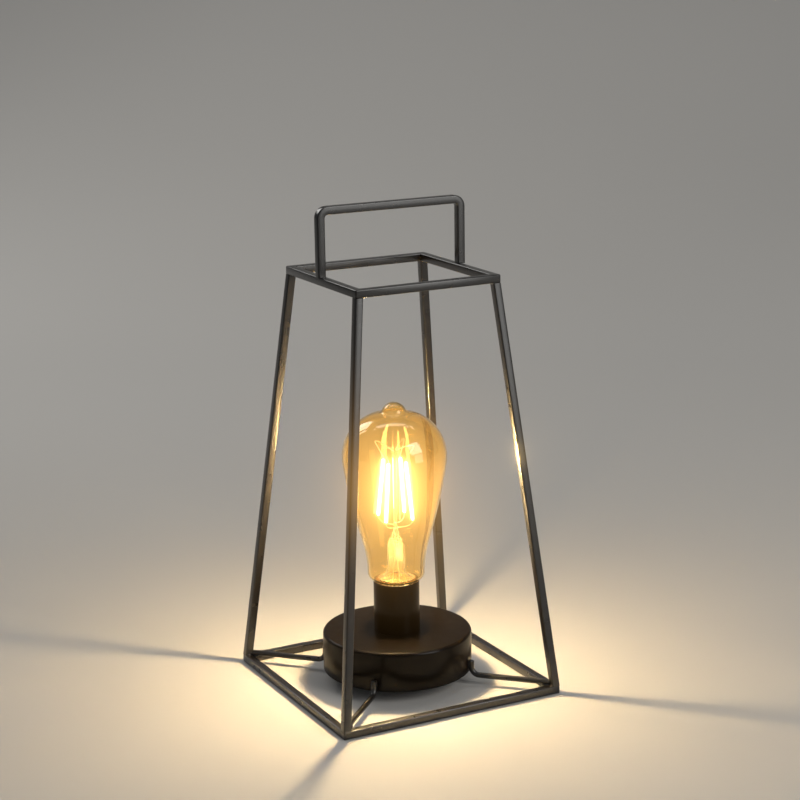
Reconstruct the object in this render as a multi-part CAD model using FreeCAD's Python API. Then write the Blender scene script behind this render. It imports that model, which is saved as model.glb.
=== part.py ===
import FreeCAD, Part
import math
import os

# Lantern table lamp: a tapered cage of square steel bar with a carrying handle, a round
# battery base held on four spokes, and a pear-shaped filament bulb in a plain metal sleeve.
# Millimetres. +Z is up, the origin is the middle of the footprint on the surface it stands on.
# The front is -Y. The handle spans from left (-X) to right (+X).

V = FreeCAD.Vector
UP = V(0, 0, 1)
ORIGIN = V(0, 0, 0)

# ---------------------------------------------------------------- driving dimensions
# flat sides that stand for a round form, to keep the model light
WIRE_SIDES = 6
SCREW_SIDES = 8
ROD_SIDES = 12
SMALL_SIDES = 24
CAP_SIDES = 32
GLASS_SIDES = 36
STEM_SIDES = 16

# cage
FOOT_WIDTH = 148.0        # bottom ring, outside
TOP_WIDTH = 96.0          # top ring, outside
CAGE_HEIGHT = 260.0       # top face of the top ring
HANDLE_RISE = 42.0        # handle above the top ring
HANDLE_WIDTH = 99.0       # outside; its legs stand a little proud of the top ring
BAR = 5.0                 # square bar
BAR_EDGE = 0.45           # bevel along the bar
RING_CORNER = 0.8         # ground weld on a ring's outer corner
HANDLE_BEND = 7.0         # outer bend radius of the handle
SPOKE_DIAMETER = 3.5      # round rod
SPOKE_BEND = 5.0          # centre line radius of a spoke's elbow
SPOKE_STEPS = 4           # straight steps round that elbow
SPOKE_TOP = 16.0          # where a spoke ends against the wall of the base
WELD_SEAT = 0.1           # how far a weld beds a rod into what it lies on

# base
BASE_RADIUS = 46.5
BASE_BOTTOM = 8.2
BASE_TOP = 32.7
BASE_WALL = 1.2
BASE_EDGE = 2.0           # outer rounding of the drawn top edge
EDGE_STEPS = 2            # flats across that rounding

# battery tray and door
TRAY_GAP = 0.2            # tray to housing
TRAY_RECESS = 1.0         # tray sits this far up inside the rim
TRAY_FLOOR = 2.4
WELL_LENGTH = 58.0        # room for the cells, along X
WELL_WIDTH = 45.6         # along Y
WELL_WALL = 1.4
WELL_ROOF = 1.0
WELL_CORNER = 1.6         # bevel on the well's upright outer edges
RIB_LENGTH = 36.0         # ribs under the roof keep the cells apart
RIB_THICKNESS = 0.9
RIB_DEPTH = 3.0
BOSS_RADIUS = 2.2         # bosses that carry the circuit board
SCOOP_LENGTH = 9.0        # finger scoop beside the door's press tab
SCOOP_WIDTH = 16.0
SCOOP_DEPTH = 1.2
DOOR_THICKNESS = 1.6
DOOR_LEDGE = 2.0          # the door laps the well's mouth by this much at its ends
DOOR_SIDE_LEDGE = 1.6     # and by this much at its sides
DOOR_GAP = 0.3
DOOR_CORNER = 2.2
TAB_HALF_WIDTH = 6.0      # press tab, to the middle of the slits beside it
SLIT_LENGTH = 9.0
SLIT_WIDTH = 0.9
GRIP_COUNT = 4            # grooves across the press tab
GRIP_PITCH = 1.7
GRIP_WIDTH = 0.7
GRIP_LENGTH = 9.2
GRIP_DEPTH = 0.35
TONGUE_OFFSET = 14.0      # two tongues hook the door's left end
TONGUE_WIDTH = 6.0
TONGUE_REACH = 2.5
TONGUE_THICKNESS = 1.2

# cells, size AA
CELL_RADIUS = 7.1
CELL_BODY = 49.2
CELL_BUTTON_RADIUS = 2.6
CELL_BUTTON = 1.2
CELL_PITCH = 15.1
CONTACT_THICKNESS = 0.4
SPRING_STRIP = 0.3        # leaf springs at the cells' flat ends
SPRING_WIDTH = 4.4
SPRING_REACH = 4.6        # half the leaf's height

# posts and screws
POST_X = 25.0
POST_Y = 32.0
POST_RADIUS = 3.0
SCREW_RADIUS = 1.5        # M3
HEAD_RADIUS = 2.8
HEAD_HEIGHT = 1.3
HEAD_ROOM = 0.3           # round a screw's head
DRIVE_ARM = 3.0           # cross recess
DRIVE_DEPTH = 0.8
THREAD_GAP = 0.05         # smooth stand-in for a thread
SMALL_SCREW_RADIUS = 1.0  # M2

# slide switch
SWITCH_Y = 33.0
SWITCH_LENGTH = 12.0
SWITCH_WIDTH = 6.4
SWITCH_HEIGHT = 5.4
SWITCH_PLATE = 0.6
SWITCH_EARS = 23.0
SWITCH_EAR_HOLE = 9.0     # ear holes, from the middle
SWITCH_TRAVEL = 4.0
KNOB_LENGTH = 4.0
KNOB_WIDTH = 3.2
KNOB_BOTTOM = 7.7

# circuit board
BOARD_Y = -34.0
BOARD_LENGTH = 26.0
BOARD_WIDTH = 13.0
BOARD_THICKNESS = 1.2
BOARD_Z = 16.0
BOARD_BOSS_X = 9.5

# lampholder
SLEEVE_RADIUS = 14.3
SLEEVE_WALL = 0.6
SLEEVE_TOP = 64.6
SLEEVE_FLOOR = 0.8
NIPPLE_RADIUS = 5.0       # M10 all-thread tube
NIPPLE_BORE = 3.5
NIPPLE_BOTTOM = 28.4
NIPPLE_TOP = 36.5
WASHER = 0.6
NUT = 2.2
NUT_FLATS = 14.0
HOLDER_TOP = 37.9
HOLDER_RADIUS = 13.55
SHELL_INSIDE = 13.3
SHELL_LIP = 10.5
SHELL_TOP = 62.5
LEAD_DIAMETER = 1.0
LEAD_X = 2.4
LEAD_Z = 27.85            # leads lie between the well's roof and the nipple

# bulb, 64 mm across
CAP_RADIUS = 13.0
CAP_SHEET = 0.3
CAP_TOP = 65.0
CAP_SKIRT = 44.0          # bottom of the threaded length
CAP_CONE_RADIUS = 9.5
CAP_CONE = 41.3
CAP_TIP = 38.6
TIP_RADIUS = 4.8
GLASS = 0.9
MOUTH_RADIUS = 12.6
MOUTH_BOTTOM = 60.5
SHELF_GAP = 0.1           # the glass stands this far above the cap's edge
NECK_RADIUS = 17.8
NECK_BLEND = 64.0         # hollow curve between neck and flank
BELLY_RADIUS = 32.4
BELLY_Z = 144.4
SHOULDER_RADIUS = 33.0    # short curve just below the belly
SHOULDER_TURN = 9.2       # degrees
FLANK_RADIUS = 390.0      # long curve below it
FLANK_BOTTOM = 88.0
DOME_RADIUS = 27.9
PIP_RADIUS = 8.0          # sealed tip
PIP_TOP = 178.4
PIP_BLEND = 2.4
OUTER_STEPS = 6           # straight steps along the dome, outside and inside the glass
INNER_STEPS = 3
STEM_RADIUS = 5.6
STEM_GLASS = 0.9
FLARE_BOTTOM = 66.3
FLARE_ROUND = 6.0
STEM_TOP = 91.0
PINCH_TOP = 97.0
ROD_RADIUS = 1.4          # glass rod that carries the upper supports
ROD_TOP = 148.0
BUTTON_RADIUS = 2.4
FILAMENT_COUNT = 4
FILAMENT_TURN = 34.5      # degrees, first filament from +X
FILAMENT_RADIUS = 1.0
FILAMENT_PIN = 1.5        # bare end
FILAMENT_LOW = (12.2, 104.0)     # radius and height of the lower end
FILAMENT_HIGH = (7.6, 142.5)
SUPPORT_WIRE = 0.3        # radius
CROWN = (13.2, 152.4)     # widest point of an upper support

# ---------------------------------------------------------------- derived levels
TRAY_BOTTOM = BASE_BOTTOM + TRAY_RECESS
TRAY_TOP = TRAY_BOTTOM + TRAY_FLOOR
DOOR_TOP = TRAY_BOTTOM + DOOR_THICKNESS
HEAD_SEAT = TRAY_BOTTOM + 1.4
CEILING = BASE_TOP - BASE_WALL
ROOF_TOP = 27.3
ROOF_BOTTOM = ROOF_TOP - WELL_ROOF
CELL_Z = ROOF_BOTTOM - CELL_RADIUS - 0.3
SIDES = ("front", "right", "rear", "left")
CORNERS = ("front_left", "front_right", "rear_right", "rear_left")


# ---------------------------------------------------------------- helpers
def save(name, shape):
    shape.exportStep(os.path.join("parts", name + ".step"))


def turned(shape, degrees, centre=ORIGIN, axis=UP):
    copy = shape.copy()
    copy.rotate(centre, axis, degrees)
    return copy


def moved(shape, x=0.0, y=0.0, z=0.0):
    copy = shape.copy()
    copy.translate(V(x, y, z))
    return copy


def box(x0, x1, y0, y1, z0, z1):
    return Part.makeBox(x1 - x0, y1 - y0, z1 - z0, V(x0, y0, z0))


def disc(radius, z0, z1, x=0.0, y=0.0):
    return Part.makeCylinder(radius, z1 - z0, V(x, y, z0))


def place_around(radius, z, degrees):
    turn = math.radians(degrees)
    return V(radius * math.cos(turn), radius * math.sin(turn), z)


def ring(radius, z, sides):
    """The corners of a regular polygon around Z; one corner lies on +X."""
    return [place_around(radius, z, 360.0 * step / sides) for step in range(sides)]


def skinned(rings, closed=False):
    """A solid of flat facets between rings of points, or round a closed row of rings."""
    pairs = list(zip(rings, rings[1:]))
    faces = []
    if closed:
        pairs.append((rings[-1], rings[0]))
    else:
        faces = [Part.Face(Part.makePolygon(end + end[:1])) for end in (rings[0], rings[-1])]
    for low, high in pairs:
        for step in range(len(low)):
            following = (step + 1) % len(low)
            corners = [low[step], low[following], high[following], high[step]]
            previous = corners[-1:] + corners[:-1]
            corners = [here for here, before in zip(corners, previous) if not here.isEqual(before, 1e-6)]
            if len(corners) > 2:
                faces.append(Part.Face(Part.makePolygon(corners + corners[:1])))
    shell = Part.Shell(faces)
    shell.sewShape()
    solid = Part.Solid(shell)
    if solid.Volume < 0:
        solid.reverse()
    return solid


def lathe(outline, sides):
    """A faceted turning around Z from a closed outline of (radius, height)."""
    return skinned([ring(radius, z, sides) for radius, z in outline], True)


def prism(radius, z0, z1, x=0.0, y=0.0, sides=SMALL_SIDES):
    return moved(skinned([ring(radius, z, sides) for z in (z0, z1)]), x, y)


def tube(outer, inner, z0, z1, sides=SMALL_SIDES):
    return lathe([(inner, z0), (outer, z0), (outer, z1), (inner, z1)], sides)


def wire(points, radius, sides=WIRE_SIDES):
    """A thin bar along straight runs, mitred where they meet."""
    runs = [(b - a).normalize() for a, b in zip(points, points[1:])]
    across = runs[0].cross(V(0, 1, 0) if abs(runs[0].y) < 0.9 else V(1, 0, 0)).normalize()
    section = []
    for step in range(sides):
        offset = across * radius
        section.append(FreeCAD.Rotation(runs[0], 360.0 * step / sides).multVec(offset))
    rings = [[points[0] + offset for offset in section]]
    for point, before, after in zip(points[1:], runs, runs[1:] + runs[-1:]):
        plane = before + after
        section = [offset - before * (offset.dot(plane) / before.dot(plane)) for offset in section]
        rings.append([point + offset for offset in section])
        section = [offset - after * offset.dot(after) for offset in section]
    return skinned(rings)


def bevelled_block(length, width, bevel, z0, z1, x=0.0, y=0.0):
    """An upright block, centred on (x, y), with its four upright edges bevelled."""
    half_x = length / 2
    half_y = width / 2
    corners = []
    for sign_x, sign_y in ((1, 1), (-1, 1), (-1, -1), (1, -1)):
        along = V(sign_x * half_x, sign_y * (half_y - bevel), z0)
        aside = V(sign_x * (half_x - bevel), sign_y * half_y, z0)
        corners += [along, aside] if sign_x == sign_y else [aside, along]
    face = Part.Face(Part.makePolygon(corners + corners[:1]))
    return moved(face.extrude(V(0, 0, z1 - z0)), x, y)


def rounded_block(length, width, radius, z0, z1, x=0.0, y=0.0):
    block = box(x - length / 2, x + length / 2, y - width / 2, y + width / 2, z0, z1)
    upright = [edge for edge in block.Edges if abs(edge.tangentAt(edge.FirstParameter).z) > 0.9]
    return block.makeFillet(radius, upright)


def spun(outline):
    """Revolve a closed outline of (radius, height) about Z."""
    corners = [V(radius, 0, z) for radius, z in outline]
    return Part.Face(Part.makePolygon(corners + corners[:1])).revolve(ORIGIN, UP, 360)


def sweep(centre, radius, start, end, steps):
    """Points on an arc in the (radius, height) plane, angles in degrees."""
    points = []
    for step in range(steps + 1):
        points.append(towards(centre, radius, start + (end - start) * step / steps))
    return points


def joined(solids):
    whole = solids[0].fuse(solids[1:])
    return whole.removeSplitter()


# ---------------------------------------------------------------- cage
def ring_bar(width, z0):
    """The front bar of a square ring, mitred at both ends."""
    half = width / 2
    bar = bevelled_block(BAR, BAR, BAR_EDGE, 0, width)
    bar.rotate(ORIGIN, V(0, 1, 0), 90)
    bar = moved(bar, -half, -half + BAR / 2, z0 + BAR / 2)
    corners = [(-half, -half), (half, -half), (half - BAR, -half + BAR), (-half + BAR, -half + BAR)]
    outline = [V(x, y, z0) for x, y in corners + corners[:1]]
    mitre = Part.Face(Part.makePolygon(outline)).extrude(V(0, 0, BAR))
    column = bevelled_block(width, width, RING_CORNER, z0, z0 + BAR)
    return bar.common(mitre).common(column)


def cage_leg():
    """The front left leg: a square bar that leans in both ways, flush with both rings."""
    low = (FOOT_WIDTH - BAR) / 2
    lean = low - (TOP_WIDTH - BAR) / 2
    foot = bevelled_block(BAR, BAR, BAR_EDGE, BAR, BAR + 1, -low, -low)
    bottom = min(foot.Faces, key=lambda face: face.CenterOfMass.z)
    return bottom.extrude(V(lean, lean, CAGE_HEIGHT - 2 * BAR))


def handle():
    """One bar bent twice, standing on the middle of the left and right top bars."""
    half = HANDLE_WIDTH / 2
    top = CAGE_HEIGHT + HANDLE_RISE
    outside = box(-half, half, -BAR / 2, BAR / 2, CAGE_HEIGHT, top)
    inside = box(-half + BAR, half - BAR, -BAR, BAR, CAGE_HEIGHT - 1, top - BAR)
    outside = outside.makeFillet(HANDLE_BEND, across_edges(outside, top))
    inside = inside.makeFillet(HANDLE_BEND - BAR, across_edges(inside, top - BAR))
    bent = outside.cut(inside)
    long_edges = []
    for edge in bent.Edges:
        middle = edge.valueAt((edge.FirstParameter + edge.LastParameter) / 2)
        if abs(abs(middle.y) - BAR / 2) < 1e-6 and middle.z > CAGE_HEIGHT + 1e-6:
            long_edges.append(edge)
    return bent.makeChamfer(BAR_EDGE, long_edges)


def across_edges(block, z):
    """The edges of a block that run along Y at height z."""
    found = []
    for edge in block.Edges:
        ends = [vertex.Point for vertex in edge.Vertexes]
        if abs(ends[0].x - ends[1].x) < 1e-6 and all(abs(end.z - z) < 1e-6 for end in ends):
            found.append(edge)
    return found


def spoke(leg, bars):
    """The front left spoke: a rod along the diagonal, turned up against the base's wall."""
    radius = SPOKE_DIAMETER / 2
    z = BAR + radius - WELD_SEAT
    upright = BASE_RADIUS + radius - WELD_SEAT
    outer_end = (FOOT_WIDTH / 2 - BAR) * math.sqrt(2) + radius
    elbow = sweep((upright + SPOKE_BEND, z + SPOKE_BEND), SPOKE_BEND, 270, 180, SPOKE_STEPS)
    route = [(outer_end, z)] + elbow + [(upright, SPOKE_TOP)]
    whole = turned(wire([V(x, 0, height) for x, height in route], radius, ROD_SIDES), -135)
    for neighbour in [leg] + bars:
        whole = whole.cut(neighbour)
    return whole.cut(disc(BASE_RADIUS, BASE_BOTTOM, BASE_TOP))


def build_cage():
    foot_bars = [turned(ring_bar(FOOT_WIDTH, 0.0), 90 * turn) for turn in range(4)]
    top_bar = ring_bar(TOP_WIDTH, CAGE_HEIGHT - BAR)
    leg = cage_leg()
    front_spoke = spoke(leg, foot_bars)
    for turn, (side, corner) in enumerate(zip(SIDES, CORNERS)):
        save("bottom_bar_" + side, foot_bars[turn])
        save("top_bar_" + side, turned(top_bar, 90 * turn))
        save("leg_" + corner, turned(leg, 90 * turn))
        save("spoke_" + corner, turned(front_spoke, 90 * turn))
    save("handle", handle())


# ---------------------------------------------------------------- base
def base_housing():
    """A drawn steel cup, open below, with a round hole for the nipple."""
    inner = BASE_RADIUS - BASE_WALL
    hole = NIPPLE_RADIUS + 0.2
    edge = sweep((BASE_RADIUS - BASE_EDGE, BASE_TOP - BASE_EDGE), BASE_EDGE, 90, 0, EDGE_STEPS)
    outline = [(hole, CEILING), (hole, BASE_TOP)] + edge
    outline += [(BASE_RADIUS, BASE_BOTTOM), (inner, BASE_BOTTOM), (inner, CEILING)]
    return spun(outline)


def post_places():
    return [(x, y) for x in (-POST_X, POST_X) for y in (-POST_Y, POST_Y)]


def housing_posts():
    """Six-sided posts under the housing's top, tapped from below."""
    posts = []
    for x, y in post_places():
        bore = prism(SCREW_RADIUS + THREAD_GAP, TRAY_TOP - 1, TRAY_TOP + 9, x, y, SCREW_SIDES)
        posts.append(prism(POST_RADIUS, TRAY_TOP, CEILING, x, y, 6).cut(bore))
    return Part.makeCompound(posts)


def cross_recess(depth, arm, z, x, y):
    """A cross-shaped drive, cut upwards into a screw head whose face is at z."""
    blade = 0.28 * arm
    one = box(x - arm / 2, x + arm / 2, y - blade / 2, y + blade / 2, z - 1, z + depth)
    other = box(x - blade / 2, x + blade / 2, y - arm / 2, y + arm / 2, z - 1, z + depth)
    return one.fuse(other)


def tray_screws():
    screws = []
    for x, y in post_places():
        head_face = HEAD_SEAT - HEAD_HEIGHT
        head = prism(HEAD_RADIUS, head_face, HEAD_SEAT, x, y, STEM_SIDES)
        shank = prism(SCREW_RADIUS, HEAD_SEAT, TRAY_TOP + 6, x, y, SCREW_SIDES)
        screws.append(joined([head, shank]).cut(cross_recess(DRIVE_DEPTH, DRIVE_ARM, head_face, x, y)))
    return Part.makeCompound(screws)


def tongue(y, grow=0.0):
    """One of the door's two hooks, or the room cut for it."""
    left = -WELL_LENGTH / 2 - DOOR_LEDGE + DOOR_GAP
    return box(left - TONGUE_REACH - grow, left + 2.4 + grow,
               y - TONGUE_WIDTH / 2 - grow, y + TONGUE_WIDTH / 2 + grow,
               DOOR_TOP - grow / 3, DOOR_TOP + TONGUE_THICKNESS + 6 * grow)


def battery_tray():
    """The moulded floor of the base, with the cells' well standing on it."""
    floor = disc(BASE_RADIUS - BASE_WALL - TRAY_GAP, TRAY_BOTTOM, TRAY_TOP)
    well = bevelled_block(WELL_LENGTH + 2 * WELL_WALL, WELL_WIDTH + 2 * WELL_WALL, WELL_CORNER,
                          TRAY_TOP - 1, ROOF_TOP)
    tray = floor.fuse(well)
    for x in (-BOARD_BOSS_X, BOARD_BOSS_X):
        tray = tray.fuse(prism(BOSS_RADIUS, TRAY_TOP - 1, BOARD_Z, x, BOARD_Y, SCREW_SIDES))
        bore = prism(SMALL_SCREW_RADIUS + THREAD_GAP, TRAY_TOP, BOARD_Z + 1, x, BOARD_Y, SCREW_SIDES)
        tray = tray.cut(bore)
    tray = tray.cut(bevelled_block(WELL_LENGTH, WELL_WIDTH, 0.8, TRAY_BOTTOM - 1, ROOF_BOTTOM))
    tray = tray.cut(rounded_block(WELL_LENGTH + 2 * DOOR_LEDGE, WELL_WIDTH + 2 * DOOR_SIDE_LEDGE,
                                  DOOR_CORNER + DOOR_GAP, TRAY_BOTTOM - 1, DOOR_TOP))
    for side in (-1, 1):
        rib_y = side * CELL_PITCH / 2
        tray = tray.fuse(box(-RIB_LENGTH / 2, RIB_LENGTH / 2, rib_y - RIB_THICKNESS / 2,
                             rib_y + RIB_THICKNESS / 2, ROOF_BOTTOM - RIB_DEPTH, ROOF_BOTTOM + WELL_ROOF / 2))
        tray = tray.cut(tongue(side * TONGUE_OFFSET, 0.3))
    scoop_x = WELL_LENGTH / 2 + DOOR_LEDGE
    tray = tray.cut(bevelled_block(SCOOP_LENGTH, SCOOP_WIDTH, 2.0, TRAY_BOTTOM - 1,
                                   TRAY_BOTTOM + SCOOP_DEPTH, scoop_x))
    for x, y in post_places():
        tray = tray.cut(prism(SCREW_RADIUS + 0.2, TRAY_BOTTOM - 1, TRAY_TOP + 1, x, y, SCREW_SIDES))
        tray = tray.cut(prism(HEAD_RADIUS + HEAD_ROOM, TRAY_BOTTOM - 1, HEAD_SEAT, x, y, STEM_SIDES))
    slot = KNOB_LENGTH + SWITCH_TRAVEL + 0.6
    tray = tray.cut(bevelled_block(slot, KNOB_WIDTH + 0.6, 0.4, TRAY_BOTTOM - 1, TRAY_TOP + 1, 0, SWITCH_Y))
    for x in (-SWITCH_EAR_HOLE, SWITCH_EAR_HOLE):
        bore = prism(SMALL_SCREW_RADIUS + THREAD_GAP, TRAY_BOTTOM + 0.6, TRAY_TOP + 1,
                     x, SWITCH_Y, SCREW_SIDES)
        tray = tray.cut(bore)
    for tab in terminal_tabs(0.15):
        tray = tray.cut(tab)
    return tray.removeSplitter()


def battery_door():
    """A flat cover with two tongues at its left end and a sprung press tab at its right end."""
    length = WELL_LENGTH + 2 * DOOR_LEDGE - 2 * DOOR_GAP
    width = WELL_WIDTH + 2 * DOOR_SIDE_LEDGE - 2 * DOOR_GAP
    door = rounded_block(length, width, DOOR_CORNER, TRAY_BOTTOM, DOOR_TOP)
    for side in (-1, 1):
        door = door.fuse(tongue(side * TONGUE_OFFSET))
        slit = bevelled_block(SLIT_LENGTH, SLIT_WIDTH, 0.2, TRAY_BOTTOM - 1, DOOR_TOP + 1,
                              length / 2 - 4.0, side * TAB_HALF_WIDTH)
        door = door.cut(slit)
    for step in range(GRIP_COUNT):
        groove_x = length / 2 - DOOR_CORNER - GRIP_PITCH * step
        door = door.cut(box(groove_x - GRIP_WIDTH / 2, groove_x + GRIP_WIDTH / 2, -GRIP_LENGTH / 2,
                            GRIP_LENGTH / 2, TRAY_BOTTOM - 1, TRAY_BOTTOM + GRIP_DEPTH))
    return door.removeSplitter()


# ---------------------------------------------------------------- cells and contacts
def cell(y, positive):
    """One AA cell along X; positive is +1 when its button points to +X."""
    plate_face = WELL_LENGTH / 2 - CONTACT_THICKNESS
    shoulder = plate_face - CELL_BUTTON
    outline = [(0, shoulder - CELL_BODY), (CELL_RADIUS, shoulder - CELL_BODY), (CELL_RADIUS, shoulder),
               (CELL_BUTTON_RADIUS, shoulder), (CELL_BUTTON_RADIUS, plate_face), (0, plate_face)]
    upright = lathe(outline, SMALL_SIDES)
    upright.rotate(ORIGIN, V(0, 1, 0), 90 * positive)
    return moved(upright, 0, y, CELL_Z)


def contact_spring(y, side):
    """A bowed leaf between the end wall's plate and a cell's flat end."""
    plate = WELL_LENGTH / 2 - CONTACT_THICKNESS
    bow = plate - (CELL_BODY + CELL_BUTTON - plate)
    strip = SPRING_STRIP
    profile = [(0, -SPRING_REACH), (strip, -SPRING_REACH),
               (bow, -0.8), (bow, 0.8), (strip + 0.6, SPRING_REACH),
               (0.6, SPRING_REACH), (bow - strip, 0.6), (bow - strip, -0.6), (0, -SPRING_REACH + 1.0)]
    corners = [V(plate - x, y - SPRING_WIDTH / 2, CELL_Z + z) for x, z in profile]
    leaf = Part.Face(Part.makePolygon(corners + corners[:1])).extrude(V(0, SPRING_WIDTH, 0))
    if side < 0:
        leaf = turned(leaf, 180, V(0, y, 0))
    return leaf


def contact_plate(side, rows):
    """A plate on an end wall that joins the cells in the given rows."""
    wall = WELL_LENGTH / 2
    centre = sum(rows) / len(rows) * CELL_PITCH
    width = 12.0 + (len(rows) - 1) * CELL_PITCH
    plate = bevelled_block(width, 11.0, 1.0, 0, CONTACT_THICKNESS)
    plate.rotate(ORIGIN, V(0, 0, 1), 90)
    plate.rotate(ORIGIN, V(0, 1, 0), 90)
    plate = moved(plate, wall - CONTACT_THICKNESS, 0, 0)
    if side < 0:
        plate = turned(plate, 180)
    return moved(plate, 0, centre, CELL_Z)


def terminal_tabs(grow=0.0):
    """Solder tabs of the two end terminals, through slots in the well's end walls."""
    wall = WELL_LENGTH / 2 - CONTACT_THICKNESS
    tabs = []
    for side, row in ((1, 1), (-1, -1)):
        inner = side * (wall - grow)
        outer = side * (WELL_LENGTH / 2 + WELL_WALL + 1.6 + grow)
        y = row * CELL_PITCH
        tabs.append(box(min(inner, outer), max(inner, outer), y - 2 - grow, y + 2 + grow,
                        CELL_Z - CONTACT_THICKNESS / 2 - grow, CELL_Z + CONTACT_THICKNESS / 2 + grow))
    return tabs


def build_battery():
    rows = (-1, 0, 1)
    for name, row in zip(("front", "middle", "rear"), rows):
        facing = -1 if row == 0 else 1
        save("battery_cell_" + name, cell(row * CELL_PITCH, facing))
    springs = [contact_spring(row * CELL_PITCH, 1 if row == 0 else -1) for row in rows]
    save("contact_springs", Part.makeCompound(springs))
    positive_tab, negative_tab = terminal_tabs()
    save("positive_terminal", contact_plate(1, [1]).fuse(positive_tab).removeSplitter())
    save("negative_terminal", contact_plate(-1, [-1]).fuse(negative_tab).removeSplitter())
    save("link_contacts", Part.makeCompound([contact_plate(1, [-1, 0]), contact_plate(-1, [0, 1])]))


# ---------------------------------------------------------------- switch and circuit board
def switch_body():
    """A panel slide switch: a plate with two ears and a can that stands on it."""
    low = TRAY_TOP
    plate = bevelled_block(SWITCH_EARS, SWITCH_WIDTH, 0.8, low, low + SWITCH_PLATE, 0, SWITCH_Y)
    can = bevelled_block(SWITCH_LENGTH, SWITCH_WIDTH, 0.4, low, low + SWITCH_HEIGHT, 0, SWITCH_Y)
    body = plate.fuse(can)
    body = body.cut(bevelled_block(SWITCH_LENGTH - 1.6, SWITCH_WIDTH - 1.6, 0.2,
                                   low + SWITCH_PLATE, low + SWITCH_HEIGHT - 0.8, 0, SWITCH_Y))
    body = body.cut(bevelled_block(KNOB_LENGTH + SWITCH_TRAVEL + 0.6, KNOB_WIDTH + 0.6, 0.4,
                                   low - 1, low + SWITCH_PLATE + 0.1, 0, SWITCH_Y))
    for x in (-SWITCH_EAR_HOLE, SWITCH_EAR_HOLE):
        body = body.cut(prism(SMALL_SCREW_RADIUS + 0.1, low - 1, low + 2, x, SWITCH_Y, SCREW_SIDES))
    for x in (-4.0, 0.0, 4.0):
        top = low + SWITCH_HEIGHT
        body = body.fuse(box(x - 0.6, x + 0.6, SWITCH_Y - 0.2, SWITCH_Y + 0.2, top - 0.5, top + 3.0))
    return body.removeSplitter()


def switch_slider():
    """The ridged knob and the carriage that keeps it in the switch."""
    x = -SWITCH_TRAVEL / 2
    knob_top = TRAY_TOP + SWITCH_PLATE + 0.4
    carriage_low = TRAY_TOP + SWITCH_PLATE + 0.2
    knob = bevelled_block(KNOB_LENGTH, KNOB_WIDTH, 0.3, KNOB_BOTTOM, knob_top, x, SWITCH_Y)
    carriage = bevelled_block(KNOB_LENGTH + 1.4, KNOB_WIDTH + 1.0, 0.3, carriage_low, carriage_low + 2.4,
                              x, SWITCH_Y)
    slider = knob.fuse(carriage)
    for step in (-1, 0, 1):
        middle = x + step * 1.1
        slider = slider.cut(box(middle - 0.25, middle + 0.25, SWITCH_Y - 3, SWITCH_Y + 3,
                                KNOB_BOTTOM - 1, KNOB_BOTTOM + 0.4))
    return slider.removeSplitter()


def small_screws():
    """Four M2 screws: two hold the switch, two hold the circuit board."""
    screws = []
    places = [(x, SWITCH_Y, TRAY_TOP + SWITCH_PLATE, 1.6) for x in (-SWITCH_EAR_HOLE, SWITCH_EAR_HOLE)]
    places += [(x, BOARD_Y, BOARD_Z + BOARD_THICKNESS, 3.8) for x in (-BOARD_BOSS_X, BOARD_BOSS_X)]
    for x, y, seat, grip in places:
        screws.append(joined([prism(SMALL_SCREW_RADIUS, seat - grip, seat, x, y, SCREW_SIDES),
                              prism(1.9, seat, seat + 1.2, x, y, ROD_SIDES)]))
    return Part.makeCompound(screws)


def build_electronics():
    save("switch_body", switch_body())
    save("switch_slider", switch_slider())
    save("small_screws", small_screws())
    board = bevelled_block(BOARD_LENGTH, BOARD_WIDTH, 0.8, BOARD_Z, BOARD_Z + BOARD_THICKNESS, 0, BOARD_Y)
    for x in (-BOARD_BOSS_X, BOARD_BOSS_X):
        board = board.cut(prism(SMALL_SCREW_RADIUS + 0.1, BOARD_Z - 1, BOARD_Z + 2, x, BOARD_Y, SCREW_SIDES))
    save("circuit_board", board)
    top = BOARD_Z + BOARD_THICKNESS
    chip = box(1.5, 6.5, BOARD_Y - 4.5, BOARD_Y - 0.5, top + 0.1, top + 1.6)
    legs = []
    for step in range(4):
        x = 2.1 + 1.27 * step
        legs.append(box(x - 0.2, x + 0.2, BOARD_Y - 5.4, BOARD_Y + 0.4, top, top + 0.4))
    save("timer_chip", joined([chip] + legs))
    save("filter_capacitor", prism(2.5, top, top + 8, -4.5, BOARD_Y - 2.5))


# ---------------------------------------------------------------- lampholder
def socket_sleeve():
    """A plain drawn cup that stands on the base and hides the lampholder."""
    inner = SLEEVE_RADIUS - SLEEVE_WALL
    hole = NIPPLE_RADIUS + 0.2
    floor = BASE_TOP + SLEEVE_FLOOR
    return spun([(hole, BASE_TOP), (SLEEVE_RADIUS, BASE_TOP), (SLEEVE_RADIUS, SLEEVE_TOP),
                 (inner, SLEEVE_TOP), (inner, floor), (hole, floor)])


def lock_nut():
    low = CEILING - WASHER - NUT
    nut = prism(NUT_FLATS / math.sqrt(3), low, low + NUT, sides=6)
    return nut.cut(prism(NIPPLE_RADIUS + THREAD_GAP, low - 1, low + NUT + 1))


def holder_body():
    """The insulator that grips the nipple and carries both contacts."""
    low = BASE_TOP + SLEEVE_FLOOR
    body = prism(HOLDER_RADIUS, low, HOLDER_TOP, sides=CAP_SIDES)
    body = body.cut(prism(NIPPLE_RADIUS + THREAD_GAP, low - 1, NIPPLE_TOP + 0.1))
    for x in (-LEAD_X, LEAD_X):
        body = body.cut(prism(LEAD_DIAMETER / 2 + 0.2, low, HOLDER_TOP + 1, x, sides=SCREW_SIDES))
    return body


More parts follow.
